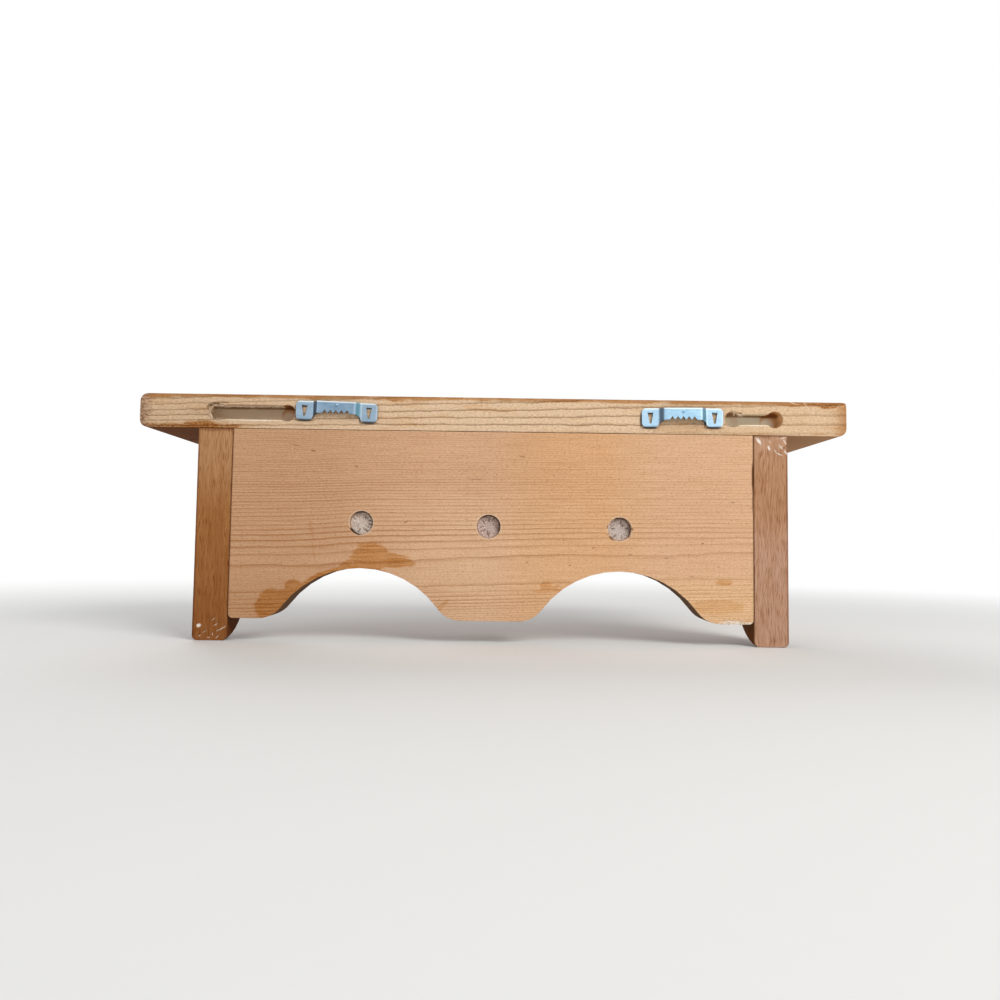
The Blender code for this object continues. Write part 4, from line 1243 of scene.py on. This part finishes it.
def hanger_mesh(name, hanger, node, tilt):
    """The sheet, both prongs and the dimple of one hanger, turned and moved to its solid's place."""
    middle_x, middle_z = middle_of(node)
    parts = (hanger_sheet(hanger), hanger_prong(hanger, -1), hanger_prong(hanger, 1), hanger_dimple(hanger))
    points = [part.reshape(-1, 3) for part, quads in parts]
    firsts = np.cumsum([0] + [len(part) for part in points])
    faces = [quads.reshape(-1, 4) + first for (part, quads), first in zip(parts, firsts)]
    x, y, z = np.concatenate(points).T
    across = middle_x + x * math.cos(tilt) + z * math.sin(tilt)
    upright = middle_z - x * math.sin(tilt) + z * math.cos(tilt)
    return surface(name, np.stack((across, y, upright), axis=-1), np.concatenate(faces), turn_to_wall)


def torn_fibres(name, start, heading, reach, width, bow):
    """Slivers of torn wood, one for each start point, as one mesh.

    A sliver's middle runs along its heading and bows outwards as a half sine. Its section is a flat
    ring whose radius is a half sine too, so both ends are points.
    """
    rows, columns = SLIVER_GRID
    along = np.linspace(0.0, 1.0, rows)
    angle = full_turn(columns)
    hump = np.sin(math.pi * along)
    outward = np.array((0.0, 1.0, 0.0))
    aside = np.cross(heading, outward)
    aside = aside / np.linalg.norm(aside, axis=-1, keepdims=True)
    middle = (
        start[:, None, :] + heading[:, None, :] * (reach[:, None] * along)[..., None]
        + outward * (bow[:, None] * hump)[..., None])
    radius = width[:, None] / 2 * hump ** 0.7
    points = (
        middle[:, :, None, :]
        + (radius[:, :, None] * np.cos(angle))[..., None] * aside[:, None, None, :]
        + (0.5 * radius[:, :, None] * np.sin(angle))[..., None] * outward)
    first = np.arange(len(start))[:, None, None, None] * rows * columns
    return surface(name, points, grid_faces(rows, columns, True) + first)


def fray(name, draw, places, reach, width, bow):
    """Slivers at some starts and headings, their sizes drawn between two ends each."""
    start, heading = places
    sizes = [draw.uniform(*ends, len(start)) for ends in (reach, width, bow)]
    return torn_fibres(name, start, heading, *sizes)


def starts_and_headings(x, y, z, turn, dip):
    """Start points at x, y and z, and headings that turn in the XZ plane and dip along Y."""
    return np.stack((x, y, z), axis=-1), np.stack((np.cos(turn), dip, np.sin(turn)), axis=-1)


def fray_round(draw, count, centre, radius, spread, lean):
    """Starts and headings of slivers on a round rim: each points from the rim to the middle, give or take.

    spread is the first and last angle in the XZ plane, and lean turns the headings at random.
    """
    angle = draw.uniform(*spread, count)
    turn = angle + math.pi + draw.uniform(-lean, lean, count)
    reach = radius * draw.uniform(0.99, 1.06, count)
    x = centre[0] + reach * np.cos(angle)
    y = draw.uniform(-0.0006, -0.0001, count)
    z = centre[1] + reach * np.sin(angle)
    return starts_and_headings(x, y, z, turn, draw.uniform(-0.30, 0.0, count))


def fray_along(draw, count, ends, height, drop, lean):
    """Starts and headings of slivers on a straight lip along X: each hangs down from it, give or take.

    ends are the lip's first and last x, height is its z, and drop is how far below the starts spread.
    """
    turn = -math.pi / 2 + draw.uniform(-lean, lean, count)
    x = draw.uniform(*ends, count)
    y = draw.uniform(-0.0012, -0.0002, count)
    z = height - drop * draw.uniform(0.0, 1.0, count)
    return starts_and_headings(x, y, z, turn, draw.uniform(-0.4, 0.0, count))


def fray_corner(draw, count):
    """Starts and headings of slivers on the panel's worn corner: they lie along it, most at its edge."""
    low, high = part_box("back_panel")
    x = low.x + draw.uniform(0.0020, 0.0165, count)
    z = low.z + 0.0004 + 0.0030 * draw.uniform(0.0, 1.0, count) ** 1.8
    turn = draw.uniform(-0.7, 0.7, count)
    return starts_and_headings(x, np.full(count, high.y - 0.0001), z, turn, np.zeros(count))


def splinters(name):
    """The splinters at the slots, each from its first end to its second."""
    x0, z0, x1, z1, width = np.array(SPLINTERS).T * MM
    run = np.stack((x1 - x0, 0.0 * x0, z1 - z0), axis=-1)
    reach = np.linalg.norm(run, axis=-1)
    start = np.stack((x0, np.full(len(x0), -0.0001), z0), axis=-1)
    return torn_fibres(name, start, run / reach[:, None], reach, width, np.full(len(x0), 0.0004))


class PEGSHELF_OT_shelf_board(bpy.types.Operator):
    """Lay a softened pine board over the shelf board's solid"""

    bl_idname = "peg_shelf.shelf_board"
    bl_label = "Shelf board"

    def execute(self, context):
        material = shelf_finish(context.scene.peg_shelf_pine)
        mesh = lay_board("shelf_board", material, BOARD_EDGE)
        square_up(mesh, "shelf_board", END_ROUND, END_POWER)
        return {'FINISHED'}


class PEGSHELF_OT_back_panel(bpy.types.Operator):
    """Lay a softened pine board over the back panel's solid"""

    bl_idname = "peg_shelf.back_panel"
    bl_label = "Back panel"

    def execute(self, context):
        material = panel_finish(context.scene.peg_shelf_pine)
        lay_board("back_panel", material, BOARD_EDGE)
        return {'FINISHED'}


class PEGSHELF_OT_brackets(bpy.types.Operator):
    """Lay softened pine boards over both brackets' solids"""

    bl_idname = "peg_shelf.brackets"
    bl_label = "Brackets"

    def execute(self, context):
        for node, side, chips, dusty in BRACKETS:
            material = bracket_finish(context.scene.peg_shelf_pine, side, chips, dusty)
            lay_board(node, material, BRACKET_EDGE)
        return {'FINISHED'}


class PEGSHELF_OT_pegs(bpy.types.Operator):
    """Turn the three pegs, with the lathe's marks in their tenons"""

    bl_idname = "peg_shelf.pegs"
    bl_label = "Pegs"

    def execute(self, context):
        material = peg_finish(context.scene.peg_shelf_pine)
        for seed, node in enumerate(PEGS):
            mesh = turned_peg(f"{node}_turned", context.scene.peg_shelf_peg, node, seed)
            add_piece(f"{node}_turned", mesh, material, (node,))
        return {'FINISHED'}


class PEGSHELF_OT_hangers(bpy.types.Operator):
    """Stamp the two sawtooth hangers"""

    bl_idname = "peg_shelf.hangers"
    bl_label = "Hangers"

    def execute(self, context):
        hanger = context.scene.peg_shelf_hanger
        # The right hanger gets the zinc darkened as painted shade
        for (node, tilt), zinc in zip(HANGER_TILTS, (hanger.zinc, hanger.shaded_zinc)):
            material = zinc_finish(f"{node}_zinc", hanger, zinc, node, tilt)
            mesh = hanger_mesh(f"{node}_zinc", hanger, node, tilt)
            piece = add_piece(f"{node}_zinc", mesh, material, (node,))
            wall = piece.modifiers.new("sheet", 'SOLIDIFY')
            wall.thickness = hanger.sheet
            wall.offset = -1.0
            soften(piece, SHEET_EDGE)
        return {'FINISHED'}


class PEGSHELF_OT_torn_wood(bpy.types.Operator):
    """Lay torn fibres round the slots, the peg holes and the panel's worn corner"""

    bl_idname = "peg_shelf.torn_wood"
    bl_label = "Torn wood"

    def execute(self, context):
        material = torn_finish(context.scene.peg_shelf_pine)
        draw = np.random.default_rng(FRAY_SEED)
        height = SLOT_HEIGHT * MM
        radius = ENTRY_RADIUS * MM
        lip = [x * MM for x in RIGHT_LIP]
        right_end = fray_round(draw, 46, (RIGHT_SLOT_END * MM, height), radius, (-2.0, 2.0), 1.1)
        right_lip = fray_along(draw, 150, lip, RIGHT_LIP_HEIGHT * MM, 0.0003, 1.3)
        left_entry = fray_round(draw, 9, (LEFT_ENTRY * MM, height), radius, (1.5, 2.9), 0.5)
        # Piece, starts and headings, least and most reach, least and most width
        rows = (
            ("keyhole_right_end_fray", right_end, (0.0008, 0.0026), (0.00012, 0.00034)),
            ("keyhole_right_lip_fray", right_lip, (0.0005, 0.0015), (0.00012, 0.00032)),
            ("keyhole_left_fray", left_entry, (0.0010, 0.0034), (0.00018, 0.00040)),
        )
        for name, places, reach, width in rows:
            mesh = fray(name, draw, places, reach, width, (-0.0001, 0.0003))
            add_piece(name, mesh, material)
        add_piece("slot_splinters", splinters("slot_splinters"), material)

        bow = (0.0, 0.0003)
        rim = fray_round(draw, 34, middle_of("peg_left"), TORN_RIM * MM, (0.0, 2 * math.pi), 1.3)
        mesh = fray("peg_left_hole_fray", draw, rim, (0.0005, 0.0015), (0.00014, 0.00036), bow)
        add_piece("peg_left_hole_fray", mesh, material)
        corner = fray_corner(draw, 44)
        mesh = fray("panel_corner_fray", draw, corner, (0.0008, 0.0024), (0.0002, 0.0006), bow)
        add_piece("panel_corner_fray", mesh, material)
        return {'FINISHED'}


class PEGSHELF_OT_dowels(bpy.types.Operator):
    """Give the hidden dowels their plain beech"""

    bl_idname = "peg_shelf.dowels"
    bl_label = "Dowels"

    def execute(self, context):
        material = beech_finish(context.scene.peg_shelf_pine)
        for name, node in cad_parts.items():
            if "dowel" in name:
                node.data.materials.clear()
                node.data.materials.append(material)
        return {'FINISHED'}


def floor_material(stage):
    """Pale floor that keeps the shelf's shadow, and fades to the white of the background further out."""
    floor = Finish("studio_floor")
    grit = floor.noise((6, 6, 6), 3)
    tint = floor.mix(grit.spread(0, 0.3), stage.floor, (0.97, 0.97, 0.97), 'MULTIPLY')
    floor.finish(tint, 0.85, 0.2)
    flat = floor.vector('MULTIPLY', floor.place, (1.0, 1.0, 0.0))
    away = floor.vector('LENGTH', flat).step(320, 900)
    white = floor.add("ShaderNodeEmission", WHITE, 1.0)
    floor.show("Material Output", away * floor.seen(), floor.shader, white)
    return floor.material


def add_floor(stage, level):
    """A round floor: rings round the middle, closer together near it."""
    rows, columns = FLOOR_GRID
    radius = stage.floor_radius * np.linspace(0.0, 1.0, rows)[:, None] ** 2
    angle = full_turn(columns)[None, :]
    x = radius * np.cos(angle)
    y = radius * np.sin(angle)
    points = np.stack((x, y, np.full_like(x, level)), axis=-1)
    mesh = surface("floor", points, grid_faces(rows, columns, True))
    mesh.materials.append(floor_material(stage))
    floor = bpy.data.objects.new("floor", mesh)
    bpy.context.scene.collection.objects.link(floor)
    floor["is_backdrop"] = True


def set_world(stage):
    """An even light, seen as white by the camera and by shiny surfaces."""
    world = bpy.data.worlds.new("studio")
    sky = Tree(world)
    lit = sky.nodes["Background"]
    sky.feed(lit.inputs["Color"], (0.97, 0.985, 1.0))
    sky.feed(lit.inputs["Strength"], stage.ambient)
    white = sky.add("ShaderNodeBackground", WHITE, 1.0)
    sky.show("World Output", sky.seen(), lit, white)
    bpy.context.scene.world = world


def facing(place, aim):
    """The turn of a lamp or a camera at a place that faces a point."""
    return (Vector(place) - Vector(aim)).to_track_quat('Z', 'Y')


def add_lamp(name, place, aim, size, watts, tint):
    """A square soft lamp at a place, facing a point."""
    lamp = bpy.data.lights.new(name, 'AREA')
    lamp.size = size
    lamp.energy = watts
    lamp.color = tint
    stand = bpy.data.objects.new(name, lamp)
    stand.location = place
    stand.rotation_euler = facing(place, aim).to_euler()
    bpy.context.scene.collection.objects.link(stand)


def add_camera(stage):
    """The camera, turned about its line of sight by its roll."""
    lens = bpy.data.cameras.new("camera")
    lens.lens = stage.lens
    lens.sensor_width = SENSOR
    lens.clip_start = 0.01
    camera = bpy.data.objects.new("camera", lens)
    bpy.context.scene.collection.objects.link(camera)
    sight = facing(stage.camera, stage.aim).to_matrix().to_4x4()
    camera.matrix_world = Matrix.Translation(stage.camera) @ sight @ Matrix.Rotation(stage.roll, 4, 'Z')
    bpy.context.scene.camera = camera


class PEGSHELF_OT_stage(bpy.types.Operator):
    """Set the floor, the light and the camera"""

    bl_idname = "peg_shelf.stage"
    bl_label = "Stage"

    def execute(self, context):
        stage = context.scene.peg_shelf_stage
        low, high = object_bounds()
        add_floor(stage, low.z - FLOOR_GAP)
        set_world(stage)
        for name, place, size, tint in LAMPS:
            add_lamp(f"{name}_lamp", place, (low + high) / 2, size, getattr(stage, name), tint)
        add_camera(stage)
        context.scene.view_settings.view_transform = 'Standard'
        return {'FINISHED'}


class PEGSHELF_PT_sidebar(bpy.types.Panel):
    """Sizes, colours and steps of the peg wall shelf"""

    bl_idname = "PEGSHELF_PT_sidebar"
    bl_label = "Peg shelf"
    bl_space_type = 'VIEW_3D'
    bl_region_type = 'UI'
    bl_category = "Peg shelf"

    def draw(self, context):
        for group in GROUPS:
            box = self.layout.box()
            values = getattr(context.scene, group)
            for name in values.__annotations__:
                box.prop(values, name)
        for step in STEPS:
            self.layout.operator(step.bl_idname)


GROUPS = {
    "peg_shelf_pine": PineColours,
    "peg_shelf_peg": PegSizes,
    "peg_shelf_hanger": HangerSizes,
    "peg_shelf_stage": StageSizes,
}
STEPS = (
    PEGSHELF_OT_shelf_board,
    PEGSHELF_OT_back_panel,
    PEGSHELF_OT_brackets,
    PEGSHELF_OT_pegs,
    PEGSHELF_OT_hangers,
    PEGSHELF_OT_torn_wood,
    PEGSHELF_OT_dowels,
    PEGSHELF_OT_stage,
)


def register():
    """Make the groups, the steps and the sidebar known."""
    for group, kind in GROUPS.items():
        bpy.utils.register_class(kind)
        setattr(bpy.types.Scene, group, PointerProperty(type=kind))
    for step in STEPS:
        bpy.utils.register_class(step)
    bpy.utils.register_class(PEGSHELF_PT_sidebar)


def unregister():
    """Take back what register made known."""
    bpy.utils.unregister_class(PEGSHELF_PT_sidebar)
    for step in reversed(STEPS):
        bpy.utils.unregister_class(step)
    for group, kind in reversed(GROUPS.items()):
        delattr(bpy.types.Scene, group)
        bpy.utils.unregister_class(kind)


def main():
    register()
    bpy.ops.peg_shelf.shelf_board()
    bpy.ops.peg_shelf.back_panel()
    bpy.ops.peg_shelf.brackets()
    bpy.ops.peg_shelf.pegs()
    bpy.ops.peg_shelf.hangers()
    bpy.ops.peg_shelf.torn_wood()
    bpy.ops.peg_shelf.dowels()
    bpy.ops.peg_shelf.stage()


if __name__ == "__main__":
    main()
